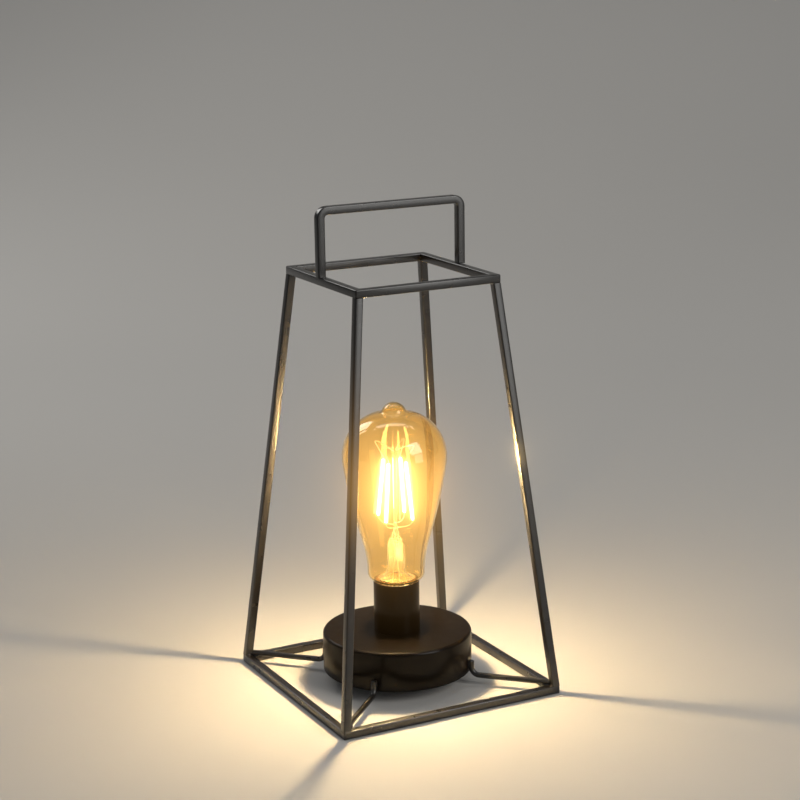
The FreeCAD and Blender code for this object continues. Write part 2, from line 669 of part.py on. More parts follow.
def screw_shell():
    """The sheet metal shell that takes the bulb's cap, with a lip turned in below."""
    lip = HOLDER_TOP + 0.3
    return lathe([(SHELL_LIP, HOLDER_TOP), (HOLDER_RADIUS, HOLDER_TOP), (HOLDER_RADIUS, SHELL_TOP),
                  (SHELL_INSIDE, SHELL_TOP), (SHELL_INSIDE, lip), (SHELL_LIP, lip)], CAP_SIDES)


def centre_contact():
    """A springy strip: its foot lies on the insulator and its free end rises to the bulb's tip."""
    strip = 0.3
    side = [(-9.5, 0), (-5.0, 0), (-1.8, 0.35), (1.8, 0.35), (2.4, 0.1),
            (2.4, 0.1 + strip), (1.8, 0.35 + strip), (-1.8, 0.35 + strip), (-5.0, strip), (-9.5, strip)]
    outline = [V(-1.6, y, HOLDER_TOP + z) for y, z in side + side[:1]]
    return Part.Face(Part.makePolygon(outline)).extrude(V(3.2, 0, 0))


def holder_leads():
    """Two leads: up the nipple's bore, over the well's roof and down to the circuit board."""
    leads = []
    for x in (-LEAD_X, LEAD_X):
        points = [V(x, 0, HOLDER_TOP), V(x, 0, LEAD_Z), V(x, -28.6, LEAD_Z),
                  V(x, -28.6, BOARD_Z + BOARD_THICKNESS)]
        leads.append(wire(points, LEAD_DIAMETER / 2))
    return Part.makeCompound(leads)


def battery_leads():
    """Leads from the two end terminals, and from the switch, to the circuit board."""
    tab_x = WELL_LENGTH / 2 + WELL_WALL + 1.0
    seat = CELL_Z + CONTACT_THICKNESS / 2
    board_top = BOARD_Z + BOARD_THICKNESS
    clear_y = WELL_WIDTH / 2 + WELL_WALL + 1.3
    negative = [V(-tab_x, -CELL_PITCH, seat), V(-tab_x, -CELL_PITCH, 24), V(-tab_x, -clear_y, 24),
                V(-11.2, -clear_y - 4, 24), V(-11.2, -clear_y - 4, board_top)]
    tip = TRAY_TOP + SWITCH_HEIGHT + 3.0
    positive = [V(tab_x, CELL_PITCH, seat), V(tab_x, CELL_PITCH, 24), V(tab_x, clear_y, 24),
                V(4.0, SWITCH_Y - 4, 24), V(4.0, SWITCH_Y, 24), V(4.0, SWITCH_Y, tip)]
    switched = [V(0, SWITCH_Y, tip), V(0, SWITCH_Y, 29.2), V(10.5, SWITCH_Y, 29.2),
                V(10.5, -clear_y - 4, 29.2), V(10.5, -clear_y - 4, board_top)]
    return Part.makeCompound([wire(route, LEAD_DIAMETER / 2) for route in (negative, positive, switched)])


def build_lampholder():
    save("socket_sleeve", socket_sleeve())
    save("threaded_nipple", tube(NIPPLE_RADIUS, NIPPLE_BORE, NIPPLE_BOTTOM, NIPPLE_TOP))
    save("nipple_washer", tube(7.5, NIPPLE_RADIUS + THREAD_GAP, CEILING - WASHER, CEILING))
    save("nipple_nut", lock_nut())
    save("lampholder_body", holder_body())
    save("lampholder_shell", screw_shell())
    save("lampholder_contact", centre_contact())
    save("lampholder_leads", holder_leads())
    save("battery_leads", battery_leads())


# ---------------------------------------------------------------- bulb
def circles_meet(centre_a, radius_a, centre_b, radius_b):
    """The crossing of two circles that lies further from the axis."""
    gap_x = centre_b[0] - centre_a[0]
    gap_z = centre_b[1] - centre_a[1]
    gap = math.hypot(gap_x, gap_z)
    along = (radius_a ** 2 - radius_b ** 2 + gap ** 2) / (2 * gap)
    aside = math.sqrt(radius_a ** 2 - along ** 2)
    found = []
    for sign in (-1, 1):
        x = centre_a[0] + (along * gap_x + sign * aside * gap_z) / gap
        z = centre_a[1] + (along * gap_z - sign * aside * gap_x) / gap
        found.append((x, z))
    return max(found)


def angle_to(centre, point):
    return math.degrees(math.atan2(point[1] - centre[1], point[0] - centre[0]))


def towards(centre, radius, angle):
    turn = math.radians(angle)
    return (centre[0] + radius * math.cos(turn), centre[1] + radius * math.sin(turn))


def envelope_skin(inset, fineness):
    """The envelope's outline from its shelf to its tip, moved in by inset, as (radius, height).

    Neck, blend, flank, shoulder, dome, blend and pip are tangent to each other, and fineness is
    the number of straight steps along the dome.
    """
    half = (fineness + 1) // 2
    neck_round = NECK_RADIUS - MOUTH_RADIUS
    round_centre = (MOUTH_RADIUS, CAP_TOP + SHELF_GAP + neck_round)
    shoulder_centre = (BELLY_RADIUS - SHOULDER_RADIUS, BELLY_Z)
    flank_centre = towards(shoulder_centre, SHOULDER_RADIUS - FLANK_RADIUS, -SHOULDER_TURN)
    dome_centre = (BELLY_RADIUS - DOME_RADIUS, BELLY_Z)
    pip_centre = (0.0, PIP_TOP - PIP_RADIUS)
    lean = math.degrees(math.asin((flank_centre[1] - FLANK_BOTTOM) / FLANK_RADIUS))
    flank_foot = towards(flank_centre, FLANK_RADIUS, -lean)
    corner_z = flank_foot[1] - (flank_foot[0] - NECK_RADIUS) / math.tan(math.radians(lean))
    blend_z = corner_z - NECK_BLEND * math.tan(math.radians(lean) / 2)
    pip_blend = circles_meet(dome_centre, DOME_RADIUS + PIP_BLEND, pip_centre, PIP_RADIUS + PIP_BLEND)
    dome_end = angle_to(dome_centre, pip_blend)
    pip_start = angle_to(pip_centre, pip_blend)
    skin = sweep(round_centre, neck_round - inset, -90, 0, half)
    skin += sweep((NECK_RADIUS + NECK_BLEND, blend_z), NECK_BLEND + inset, 180, 180 - lean, 2)
    skin += sweep(flank_centre, FLANK_RADIUS - inset, -lean, -SHOULDER_TURN, 2)[1:]
    skin += sweep(shoulder_centre, SHOULDER_RADIUS - inset, -SHOULDER_TURN, 0, 1)[1:]
    skin += sweep(dome_centre, DOME_RADIUS - inset, 0, dome_end, fineness)[1:]
    skin += sweep(pip_blend, PIP_BLEND + inset, 180 + dome_end, 180 + pip_start, 1)[1:]
    skin += sweep(pip_centre, PIP_RADIUS - inset, pip_start, 90, half)[1:]
    return skin[:-1] + [(0, PIP_TOP - inset)]


def bulb_glass():
    """The blown envelope: one skin of even thickness, open where it enters the cap."""
    shelf = CAP_TOP + SHELF_GAP
    mouth = [(MOUTH_RADIUS - GLASS, shelf + GLASS), (MOUTH_RADIUS - GLASS, MOUTH_BOTTOM),
             (MOUTH_RADIUS, MOUTH_BOTTOM), (MOUTH_RADIUS, shelf)]
    outside = envelope_skin(0.0, OUTER_STEPS)
    inside = envelope_skin(GLASS, INNER_STEPS)
    return lathe(mouth + outside[1:] + inside[:0:-1], GLASS_SIDES)


def bulb_stem():
    """Flare, hollow stem, pinch, glass rod and button."""
    inner = STEM_RADIUS - STEM_GLASS
    flare_top = FLARE_BOTTOM + FLARE_ROUND
    outer_flare = (STEM_RADIUS + FLARE_ROUND, flare_top)
    dome = PINCH_TOP - STEM_TOP
    skin = sweep(outer_flare, FLARE_ROUND, 270, 180, 2)
    skin += [(STEM_RADIUS, STEM_TOP), (ROD_RADIUS + dome * 0.35, PINCH_TOP - dome * 0.3),
             (ROD_RADIUS, PINCH_TOP)]
    skin += [(ROD_RADIUS, ROD_TOP - BUTTON_RADIUS),
             (BUTTON_RADIUS, ROD_TOP - 1.0), (BUTTON_RADIUS, ROD_TOP + 1.0),
             (ROD_RADIUS, ROD_TOP + BUTTON_RADIUS), (0, ROD_TOP + BUTTON_RADIUS)]
    skin += [(0, STEM_TOP), (inner - 1.5, STEM_TOP), (inner, STEM_TOP - 2)]
    skin += sweep(outer_flare, FLARE_ROUND + STEM_GLASS, 180, 270, 2)
    return lathe(skin, STEM_SIDES)


def filament_angles():
    return [FILAMENT_TURN + 360.0 / FILAMENT_COUNT * step for step in range(FILAMENT_COUNT)]


def filament(angle):
    """A straight phosphor-coated rod with a bare metal pin at each end."""
    low = place_around(*FILAMENT_LOW, angle)
    high = place_around(*FILAMENT_HIGH, angle)
    along = (high - low).normalize()
    coated = wire([low + along * FILAMENT_PIN, high - along * FILAMENT_PIN], FILAMENT_RADIUS, SCREW_SIDES)
    return joined([coated, wire([low, high], SUPPORT_WIRE)])


def lead_in_wires(filaments):
    """Two wires from the cap, up through the pinch, that fork to two lower filament ends each."""
    angles = filament_angles()
    wires = []
    for first, second in ((0, 1), (2, 3)):
        middle = (angles[first] + angles[second]) / 2
        fork = place_around(3.2, PINCH_TOP + 2.5, middle)
        trunk = [place_around(6.0, 55.0, middle + 14), place_around(3.2, 78.0, middle),
                 place_around(1.9, STEM_TOP, middle), place_around(2.4, PINCH_TOP - 1.0, middle), fork]
        pieces = [wire(trunk, SUPPORT_WIRE)]
        for angle in (angles[first], angles[second]):
            end = place_around(*FILAMENT_LOW, angle)
            pieces.append(wire([fork, place_around(9.0, PINCH_TOP + 4.0, angle), end], SUPPORT_WIRE))
        forked = joined(pieces)
        for rod in filaments:
            forked = forked.cut(rod)
        wires.append(forked)
    return Part.makeCompound(wires)


def filament_supports(filaments):
    """Upper supports: each leaves the button, swings out and hooks down to a filament."""
    supports = []
    for angle, rod in zip(filament_angles(), filaments):
        points = [place_around(1.0, ROD_TOP, angle), place_around(7.0, ROD_TOP + 3.0, angle),
                  place_around(*CROWN, angle), place_around(CROWN[0] - 1.6, CROWN[1] - 3.6, angle),
                  place_around(*FILAMENT_HIGH, angle)]
        supports.append(wire(points, SUPPORT_WIRE).cut(rod))
    return Part.makeCompound(supports)


def bulb_cap():
    """The screw cap's thin shell: plain at the thread's crest, coned in below."""
    skirt_inside = CAP_RADIUS - CAP_SHEET
    return lathe([(CAP_RADIUS, CAP_TOP), (CAP_RADIUS, CAP_SKIRT), (CAP_CONE_RADIUS, CAP_CONE),
                  (CAP_CONE_RADIUS - CAP_SHEET, CAP_CONE), (skirt_inside, CAP_SKIRT + 0.1),
                  (skirt_inside, CAP_TOP)], CAP_SIDES)


def cap_insulator():
    inside = CAP_CONE_RADIUS - CAP_SHEET
    return lathe([(0, CAP_TIP + 1.0), (TIP_RADIUS + 0.4, CAP_TIP + 1.0), (CAP_CONE_RADIUS, CAP_CONE - 0.6),
                  (CAP_CONE_RADIUS, CAP_CONE), (inside, CAP_CONE), (inside + 0.8, CAP_CONE + 0.7),
                  (0, CAP_CONE + 0.7)], CAP_SIDES)


def cap_contact():
    """The soldered tip."""
    return lathe([(0, CAP_TIP), (0.5 * TIP_RADIUS, CAP_TIP + 0.2), (TIP_RADIUS, CAP_TIP + 1.0),
                  (0, CAP_TIP + 1.0)], STEM_SIDES)


def build_bulb():
    save("bulb_cap", bulb_cap())
    save("bulb_cap_insulator", cap_insulator())
    save("bulb_cap_contact", cap_contact())
    save("bulb_glass", bulb_glass())
    save("bulb_stem", bulb_stem())
    filaments = [filament(angle) for angle in filament_angles()]
    save("lead_in_wires", lead_in_wires(filaments))
    save("filament_supports", filament_supports(filaments))
    for number, rod in enumerate(filaments, 1):
        save("led_filament_%d" % number, rod)


# ---------------------------------------------------------------- build
def build():
    os.makedirs("parts", exist_ok=True)
    build_cage()
    save("base_housing", base_housing())
    save("housing_posts", housing_posts())
    save("tray_screws", tray_screws())
    save("battery_tray", battery_tray())
    save("battery_door", battery_door())
    build_battery()
    build_electronics()
    build_lampholder()
    build_bulb()


build()
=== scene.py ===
import bmesh
import bpy
import math
import random
from mathutils import Matrix, Vector


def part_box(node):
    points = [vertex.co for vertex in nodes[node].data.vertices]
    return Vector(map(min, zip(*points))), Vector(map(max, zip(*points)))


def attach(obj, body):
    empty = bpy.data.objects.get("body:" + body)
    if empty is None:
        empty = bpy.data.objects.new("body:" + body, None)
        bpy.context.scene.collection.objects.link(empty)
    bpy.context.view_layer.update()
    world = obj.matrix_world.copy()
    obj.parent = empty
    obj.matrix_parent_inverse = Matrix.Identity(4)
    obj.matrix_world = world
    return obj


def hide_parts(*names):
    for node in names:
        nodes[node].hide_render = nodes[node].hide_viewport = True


# Lantern table lamp: a welded cage of square bar, a round battery base with a bulb sleeve, and a
# pear-shaped filament bulb, lit. Every size in this script is in millimetres and every mesh is
# scaled to metres as it is made. Places come from the frame wherever the frame has them.

MM = 0.001
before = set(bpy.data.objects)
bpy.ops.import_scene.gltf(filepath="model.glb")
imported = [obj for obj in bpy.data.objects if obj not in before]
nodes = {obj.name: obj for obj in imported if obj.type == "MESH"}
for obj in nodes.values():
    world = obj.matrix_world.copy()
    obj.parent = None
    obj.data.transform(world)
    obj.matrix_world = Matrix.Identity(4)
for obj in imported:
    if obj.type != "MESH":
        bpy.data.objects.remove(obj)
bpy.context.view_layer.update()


def low_of(node):
    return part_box(node)[0] / MM


def high_of(node):
    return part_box(node)[1] / MM


# ---------------------------------------------------------------- sizes
SIDES = ("front", "right", "rear", "left")
CORNERS = ("front_left", "front_right", "rear_right", "rear_left")

# cage, read from the frame
BAR = high_of("bottom_bar_front").z
FOOT_HALF = -low_of("bottom_bar_front").y
TOP_HALF = -low_of("top_bar_front").y
TOP_RING_Z = high_of("top_bar_front").z
HANDLE_HALF = high_of("handle").x
HANDLE_TOP = high_of("handle").z
BAR_EDGE = 0.7            # radius along the bar's edges
EDGE_STEPS = 4
RING_CORNER = 1.0         # ground weld on a ring's outer corner
CORNER_STEPS = 4
RING_DIAGONAL = (FOOT_HALF - BAR) * math.sqrt(2)  # the foot's inner corner, from the middle
LEG_LOOPS = (0.0, 0.02, 0.5, 0.98, 1.0)           # shares of a leg's rise
HANDLE_FOOT = 1.0         # first loop above the ring
HANDLE_BEND = 7.0         # outer bend radius
BEND_STEPS = 12
SPOKE_RADIUS = 1.75
SPOKE_BEND = 5.0
SPOKE_REACH = 0.6         # how far a spoke runs in past the ring's inner corner
SPOKE_TIP = 0.5           # rounding of its ends
SPOKE_SIDES = 24
WELD_SEAT = 0.1

# weld beads
BEAD_STEPS = 14
BEAD_SIDES = 12
BEAD_START = 0.06         # share of its half wave that a bead leaves out at each end
BEAD_FULLNESS = 0.4
BEAD_RIPPLE = 0.10
BEAD_RIPPLES = 3.2
LEG_BEAD = 0.75
RING_BEAD = 0.8
WALL_BEAD = 0.7
BEAD_INSET = 0.7          # from a bar's edge to a bead's end
HANDLE_BEAD_INSET = 0.4
RING_BEAD_NEAR = (0.5, 1.1)   # back from the inner corner, and aside from the spoke
RING_BEAD_FAR = (4.2, 1.3)
WALL_BEAD_PLACE = (0.3, 1.1)  # out from the base's wall, and aside
WALL_BEAD_LOW = 3.0       # above the base's rim
WALL_BEAD_HIGH = 0.6      # below the spoke's top
CORNER_SEED = 11
HANDLE_SEED = 5

# base, read from the frame
BASE_RADIUS = high_of("base_housing").x
BASE_BOTTOM = low_of("base_housing").z
BASE_TOP = high_of("base_housing").z
BASE_WALL = 1.2
BASE_EDGE = 2.0
BASE_EDGE_STEPS = 10
BASE_RIM = 0.4
CEILING_ROUND = 1.0
ROUND_STEPS = 4
SLEEVE_RADIUS = high_of("socket_sleeve").x
SLEEVE_TOP = high_of("socket_sleeve").z
SLEEVE_WALL = 0.6
SLEEVE_FLOOR = 0.8
SLEEVE_SEAT = 1.0         # from the sleeve's outside in to the seat under it
SLEEVE_FOOT_ROUND = 0.4
SLEEVE_INNER_ROUND = 0.6
SLEEVE_INNER_STEPS = 3
LIP_STEPS = 8
SPOKE_TOP = high_of("spoke_front_left").z
NIPPLE_HOLE = 5.2

# lampholder and cells
SHELL_RADIUS = high_of("lampholder_shell").x
SHELL_BOTTOM = low_of("lampholder_shell").z
SHELL_TOP = high_of("lampholder_shell").z
SHELL_SHEET = 0.25
SHELL_LIP = 10.5
SHELL_LIP_TOP = 0.3
SHELL_ROUND = 0.5
SHELL_INNER_FOOT = 0.8
SHELL_THREAD = 0.22
SHELL_THREAD_LOW = SHELL_BOTTOM + 5.0
SHELL_THREAD_HIGH = SHELL_TOP - 2.0
CELL_SEGMENTS = 64
CELL_RIM = 0.6            # rounding of a cell's ends
CELL_RIM_STEPS = 5
CELL_BUTTON = 1.2
CELL_BUTTON_RADIUS = 2.6
CELL_BUTTON_ROUND = 0.3
CELL_BUTTON_STEPS = 3
CELL_BAND = (8.0, 10.5)   # the printed band, from the flat end
CELL_NECK = 3.0           # last row of the can, below the shoulder
CELL_CRIMP = 0.9          # width of the sleeve that folds over both ends
CELL_FLAT_END = [(0.0, 0.0), (4.5, 0.0), (4.8, 0.35), (6.0, 0.35)]
CELL_GROOVE = ((5.9, 0.0), (5.7, -0.5), (3.3, -0.3), (CELL_BUTTON_RADIUS, 0.0))  # from the shoulder

# bulb
CAP_RADIUS = high_of("bulb_cap").x
CAP_TOP = high_of("bulb_cap").z
CAP_BOTTOM = low_of("bulb_cap").z
CAP_SHEET = 0.3
CAP_SKIRT = 44.0
CAP_CONE_RADIUS = 9.5
CAP_THREAD_TOP = 60.0
CAP_COLLAR = 60.6
CAP_LIP = (0.15, 0.3)     # how far in and how far down
THREAD_PITCH = 3.63
THREAD_DEPTH = 0.9
THREAD_FADE = 0.08        # share of a thread over which it runs out at each end
THREAD_SEGMENTS = 72
THREAD_ROWS = 54
TIP_BOTTOM = low_of("bulb_cap_contact").z
TIP_RADIUS = 4.8
TIP_TOP = TIP_BOTTOM + 1.0
TIP_SEGMENTS = 48
CAP_TIP = ((0.0, TIP_BOTTOM), (1.6, TIP_BOTTOM + 0.04), (3.2, TIP_BOTTOM + 0.22),
           (4.3, TIP_BOTTOM + 0.55), (TIP_RADIUS, TIP_TOP), (0.0, TIP_TOP))
CAP_DISC = ((0.0, TIP_TOP), (TIP_RADIUS + 0.4, TIP_TOP), (TIP_RADIUS + 0.9, TIP_TOP + 0.4),
            (CAP_CONE_RADIUS - 0.4, CAP_BOTTOM - 0.7), (CAP_CONE_RADIUS - 0.05, CAP_BOTTOM - 0.3),
            (CAP_CONE_RADIUS - 0.05, CAP_BOTTOM), (CAP_CONE_RADIUS - CAP_SHEET, CAP_BOTTOM),
            (CAP_CONE_RADIUS - CAP_SHEET + 0.5, CAP_BOTTOM + 0.5), (0.0, CAP_BOTTOM + 0.5))
GLASS = 0.9
MOUTH_RADIUS = 12.6
MOUTH_BOTTOM = low_of("bulb_glass").z
SHELF_GAP = 0.1
NECK_RADIUS = 17.8
NECK_BLEND = 64.0
BELLY_RADIUS = high_of("bulb_glass").x
BELLY_Z = 144.4
SHOULDER_RADIUS = 33.0
SHOULDER_TURN = 9.2
FLANK_RADIUS = 390.0
FLANK_BOTTOM = 88.0
DOME_RADIUS = 27.9
PIP_RADIUS = 8.0
PIP_TOP = high_of("bulb_glass").z
PIP_BLEND = 2.4
NECK_ROUND_STEPS = 12
NECK_BLEND_STEPS = 8
FLANK_STEPS = 14
SHOULDER_STEPS = 4
DOME_STEPS = 22
PIP_BLEND_STEPS = 6
PIP_STEPS = 10

# stem, filaments and wires
STEM_RADIUS = 5.6
STEM_GLASS = 0.9
STEM_SEGMENTS = 48
FLARE_BOTTOM = 66.3
FLARE_ROUND = 6.0
FLARE_STEPS = 8
STEM_TOP = 91.0
PINCH_TOP = 97.0
PINCH_HEIGHT = PINCH_TOP - STEM_TOP
ROD_RADIUS = 1.4
ROD_TOP = 148.0
BUTTON_RADIUS = 2.4
BUTTON_START = -52.0
BUTTON_STEPS = 10
PINCH_OUTLINE = [  # from the tube over the pinch to the rod, as (radius, height)
    (STEM_RADIUS, STEM_TOP - 4.0), (STEM_RADIUS, STEM_TOP),
    (STEM_RADIUS - 1.3, STEM_TOP + PINCH_HEIGHT * 0.35),
    (ROD_RADIUS + PINCH_HEIGHT * 0.35, PINCH_TOP - PINCH_HEIGHT * 0.3),
    (ROD_RADIUS + 0.7, PINCH_TOP - 0.5), (ROD_RADIUS, PINCH_TOP + 1.0), (ROD_RADIUS, ROD_TOP - 3.4),
]
STEM_BORE = STEM_RADIUS - STEM_GLASS
BORE_OUTLINE = [(STEM_BORE - 2.6, STEM_TOP), (STEM_BORE - 0.9, STEM_TOP - 1.0), (STEM_BORE, STEM_TOP - 3.0)]
SQUEEZE_LOW = (STEM_TOP - 4.0, 6.0)   # where the pinch sets in, and over what height
SQUEEZE_HIGH = (PINCH_TOP + 1.0, 3.0)
PINCH_WIDER = 0.18
PINCH_THINNER = 0.45
FILAMENT_COUNT = 4
FILAMENT_TURN = 34.5
FILAMENT_RADIUS = 1.0
FILAMENT_PIN = 1.5
FILAMENT_ROUND = 0.5
FILAMENT_STEPS = 24
FILAMENT_SIDES = 16
FILAMENT_LOW = (12.2, 104.0)
FILAMENT_HIGH = (7.6, 142.5)
SUPPORT_WIRE = 0.3
CROWN = (13.2, 152.4)
LEAD_FOOT = (6.0, 55.0)
LEAD_TWIST = 14.0         # turn of a lead-in wire's foot against its fork, in degrees
LEAD_ROUTE = ((3.2, 78.0), (1.9, STEM_TOP), (2.4, PINCH_TOP - 1.0))
LEAD_FORK = (3.2, PINCH_TOP + 2.5)
LEAD_BRANCH = (9.0, PINCH_TOP + 4.0)
SUPPORT_ROUTE = ((1.0, ROD_TOP), (7.0, ROD_TOP + 3.0), CROWN,
                 (CROWN[0] - 1.6, CROWN[1] - 3.6), FILAMENT_HIGH)
ROUTE_STEPS = 8

GLASS_SEGMENTS = 128
ROUND_SEGMENTS = 96
WIRE_SIDES = 12
TUBE_END_SHARE = 0.55     # how far a rounded end draws in
SOFT_CREASE = 35.0        # degrees from which an edge shows as a crease
THREAD_CREASE = 50.0
GLASS_CREASE = 60.0
SAME_PLACE = 1e-6


# ---------------------------------------------------------------- mesh helpers
def around(radius, z, degrees):
    turn = math.radians(degrees)
    return Vector((radius * math.cos(turn), radius * math.sin(turn), z))


def arc(centre, radius, start, end, steps):
    """Points on an arc in a plane, angles in degrees."""
    points = []
    for step in range(steps + 1):
        turn = math.radians(start + (end - start) * step / steps)
        points.append((centre[0] + radius * math.cos(turn), centre[1] + radius * math.sin(turn)))
    return points


def revolve(outline, segments):
    """Points and faces of a closed outline of (radius, height) turned about Z."""
    points, rows, faces = [], [], []
    for radius, z in outline:
        count = 1 if radius < SAME_PLACE else segments
        rows.append((len(points), count))
        for step in range(count):
            points.append(around(radius, z, 360.0 * step / segments))
    for (start, count), (next_start, next_count) in zip(rows, rows[1:] + rows[:1]):
        for step in range(segments):
            after = (step + 1) % segments
            if count > 1 and next_count > 1:
                faces.append((start + step, start + after, next_start + after, next_start + step))
            elif count > 1:
                faces.append((start + step, start + after, next_start))
            elif next_count > 1:
                faces.append((start, next_start + after, next_start + step))
    return points, faces


def loft(loops, closed=False):
    """Points and faces of a skin through loops that have as many points each."""
    count = len(loops[0])
    points = [Vector(point) for loop in loops for point in loop]
    faces = []
    spans = len(loops) if closed else len(loops) - 1
    for span in range(spans):
        first = span * count
        second = (span + 1) % len(loops) * count
        for step in range(count):
            after = (step + 1) % count
            faces.append((first + step, first + after, second + after, second + step))
    if not closed:
        faces.append(tuple(range(count)))
        faces.append(tuple(range(len(points) - count, len(points))))
    return points, faces


def merged(parts):
    """Several (points, faces) as one."""
    points, faces = [], []
    for more_points, more_faces in parts:
        shift = len(points)
        points += more_points
        faces += [tuple(corner + shift for corner in face) for face in more_faces]
    return points, faces


def piece(name, skin, body, finish, stands_for=(), crease=SOFT_CREASE, turn=0.0):
    """A mesh object in metres that rides on a body; turn is in degrees about Z."""
    points, faces = skin
    mesh = bpy.data.meshes.new(name)
    spin = Matrix.Rotation(math.radians(turn), 3, "Z")
    mesh.from_pydata([spin @ Vector(point) * MM for point in points], [], faces)
    work = bmesh.new()
    work.from_mesh(mesh)
    bmesh.ops.remove_doubles(work, verts=work.verts, dist=SAME_PLACE)
    bmesh.ops.recalc_face_normals(work, faces=work.faces)
    work.to_mesh(mesh)
    work.free()
    mesh.shade_smooth()
    mesh.set_sharp_from_angle(angle=math.radians(crease))
    made = bpy.data.objects.new(name, mesh)
    bpy.context.scene.collection.objects.link(made)
    made.data.materials.append(finish)
    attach(made, body)
    if stands_for:
        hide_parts(*stands_for)
    return made


def smooth_route(points, steps):
    """A Catmull-Rom line through the points."""
    ends = [points[0] * 2 - points[1]] + points + [points[-1] * 2 - points[-2]]
    route = []
    for a, b, c, d in zip(ends, ends[1:], ends[2:], ends[3:]):
        for step in range(steps):
            t = step / steps
            route.append(0.5 * (2 * b + (c - a) * t + (2 * a - 5 * b + 4 * c - d) * t ** 2
                                + (3 * b - a - 3 * c + d) * t ** 3))
    return route + [points[-1]]


def tube(route, radius, sides=WIRE_SIDES, rounding=0.0):
    """A round rod along a line of points; radius is a number or one number per point."""
    radii = radius if isinstance(radius, list) else [radius] * len(route)
    along = (route[1] - route[0]).normalized()
    across = along.orthogonal().normalized()
    loops = []
    for place, point in enumerate(route):
        before = route[max(place - 1, 0)]
        after = route[min(place + 1, len(route) - 1)]
        heading = (after - before).normalized()
        across = (across - heading * across.dot(heading)).normalized()
        other = heading.cross(across)
        ring = []
        for side in range(sides):
            turn = 2 * math.pi * side / sides
            ring.append(point + (across * math.cos(turn) + other * math.sin(turn)) * radii[place])
        loops.append(ring)
        if rounding and place in (0, len(route) - 1):
            sign = -1 if place == 0 else 1
            centre = point + heading * sign * rounding
            tip = [centre + (corner - point) * TUBE_END_SHARE for corner in ring]
            loops.insert(0 if place == 0 else len(loops), tip)
    return loft(loops)


def bar_section():
    """The bar's square outline with rounded edges, centred on its own middle."""
    flat = BAR / 2 - BAR_EDGE
    outline = []
    for quarter, (x, y) in enumerate(((1, 1), (-1, 1), (-1, -1), (1, -1))):
        outline += arc((x * flat, y * flat), BAR_EDGE, 90.0 * quarter, 90.0 * quarter + 90.0, EDGE_STEPS)
    return outline


# ---------------------------------------------------------------- materials
TONE_SPAN = (0.35, 0.65)  # the part of a noise over which a colour goes from dark to light
GLOSS_SPAN = (0.3, 0.7)
GLASS_IOR = 1.47
PHOSPHOR = (0.9, 0.6, 0.2)


class Finish:
    """A procedural material: one Principled shader and the few textures that feed it."""

    def __init__(self, name, colour, roughness, metallic=0.0, **sockets):
        self.material = bpy.data.materials.new(name)
        self.material.use_nodes = True
        self.tree = self.material.node_tree
        self.shader = self.tree.nodes["Principled BSDF"]
        self.shader.inputs["Base Color"].default_value = (*colour, 1)
        self.shader.inputs["Roughness"].default_value = roughness
        self.shader.inputs["Metallic"].default_value = metallic
        for socket, value in sockets.items():
            self.shader.inputs[socket.replace("_", " ")].default_value = value
        self.place = self.tree.nodes.new("ShaderNodeTexCoord").outputs["Object"]

    def link(self, source, target):
        self.tree.links.new(source, target)

    def noise(self, size, detail=3.0, roughness=0.5, stretch=None):
        """Noise whose grain is about size millimetres; stretch scales the three axes."""
        grain = self.tree.nodes.new("ShaderNodeTexNoise")
        grain.inputs["Scale"].default_value = 1.0 / (size * MM)
        grain.inputs["Detail"].default_value = detail
        grain.inputs["Roughness"].default_value = roughness
        source = self.place
        if stretch:
            mapping = self.tree.nodes.new("ShaderNodeMapping")
            mapping.inputs["Scale"].default_value = stretch
            self.link(source, mapping.inputs["Vector"])
            source = mapping.outputs["Vector"]
        self.link(source, grain.inputs["Vector"])
        return grain.outputs["Fac"]

    def ramp(self, source, stops):
        """A colour ramp over source between two stops of (position, colour)."""
        node = self.tree.nodes.new("ShaderNodeValToRGB")
        for element, (position, colour) in zip(node.color_ramp.elements, stops):
            element.position = position
            element.color = (*colour, 1)
        self.link(source, node.inputs["Fac"])
        return node.outputs["Color"]

    def mottle(self, source, dark, light):
        """A base colour that drifts between two near tones."""
        tones = self.ramp(source, zip(TONE_SPAN, (dark, light)))
        self.link(tones, self.shader.inputs["Base Color"])

    def gloss(self, source, low, high):
        """A roughness that drifts between low and high."""
        spread = self.tree.nodes.new("ShaderNodeMapRange")
        spread.inputs["From Min"].default_value = GLOSS_SPAN[0]
        spread.inputs["From Max"].default_value = GLOSS_SPAN[1]
        spread.inputs["To Min"].default_value = low
        spread.inputs["To Max"].default_value = high
        self.link(source, spread.inputs["Value"])
        self.link(spread.outputs["Result"], self.shader.inputs["Roughness"])

    def bump(self, source, depth):
        """A relief whose full height is depth millimetres."""
        node = self.tree.nodes.new("ShaderNodeBump")
        node.inputs["Distance"].default_value = depth * MM
        node.inputs["Strength"].default_value = 1.0
        self.link(source, node.inputs["Height"])
        self.link(node.outputs["Normal"], self.shader.inputs["Normal"])


def satin_paint(name, dark, light, roughness, specular, coat, coat_roughness):
    """Dark stoving paint under a thin clear coat."""
    finish = Finish(name, light, roughness, Specular_IOR_Level=specular, Coat_Weight=coat,
                    Coat_Roughness=coat_roughness)
    finish.mottle(finish.noise(9.0), dark, light)
    finish.gloss(finish.noise(7.0, detail=1.0), roughness - 0.02, roughness + 0.03)
    finish.bump(finish.noise(11.0, detail=1.0), depth=0.006)
    return finish.material


def moulded_plastic(name, dark, light, roughness):
    finish = Finish(name, light, roughness, Specular_IOR_Level=0.45)
    finish.mottle(finish.noise(5.0), dark, light)
    finish.gloss(finish.noise(2.0), roughness - 0.05, roughness + 0.08)
    finish.bump(finish.noise(0.35, detail=2.0), depth=0.03)
    return finish.material


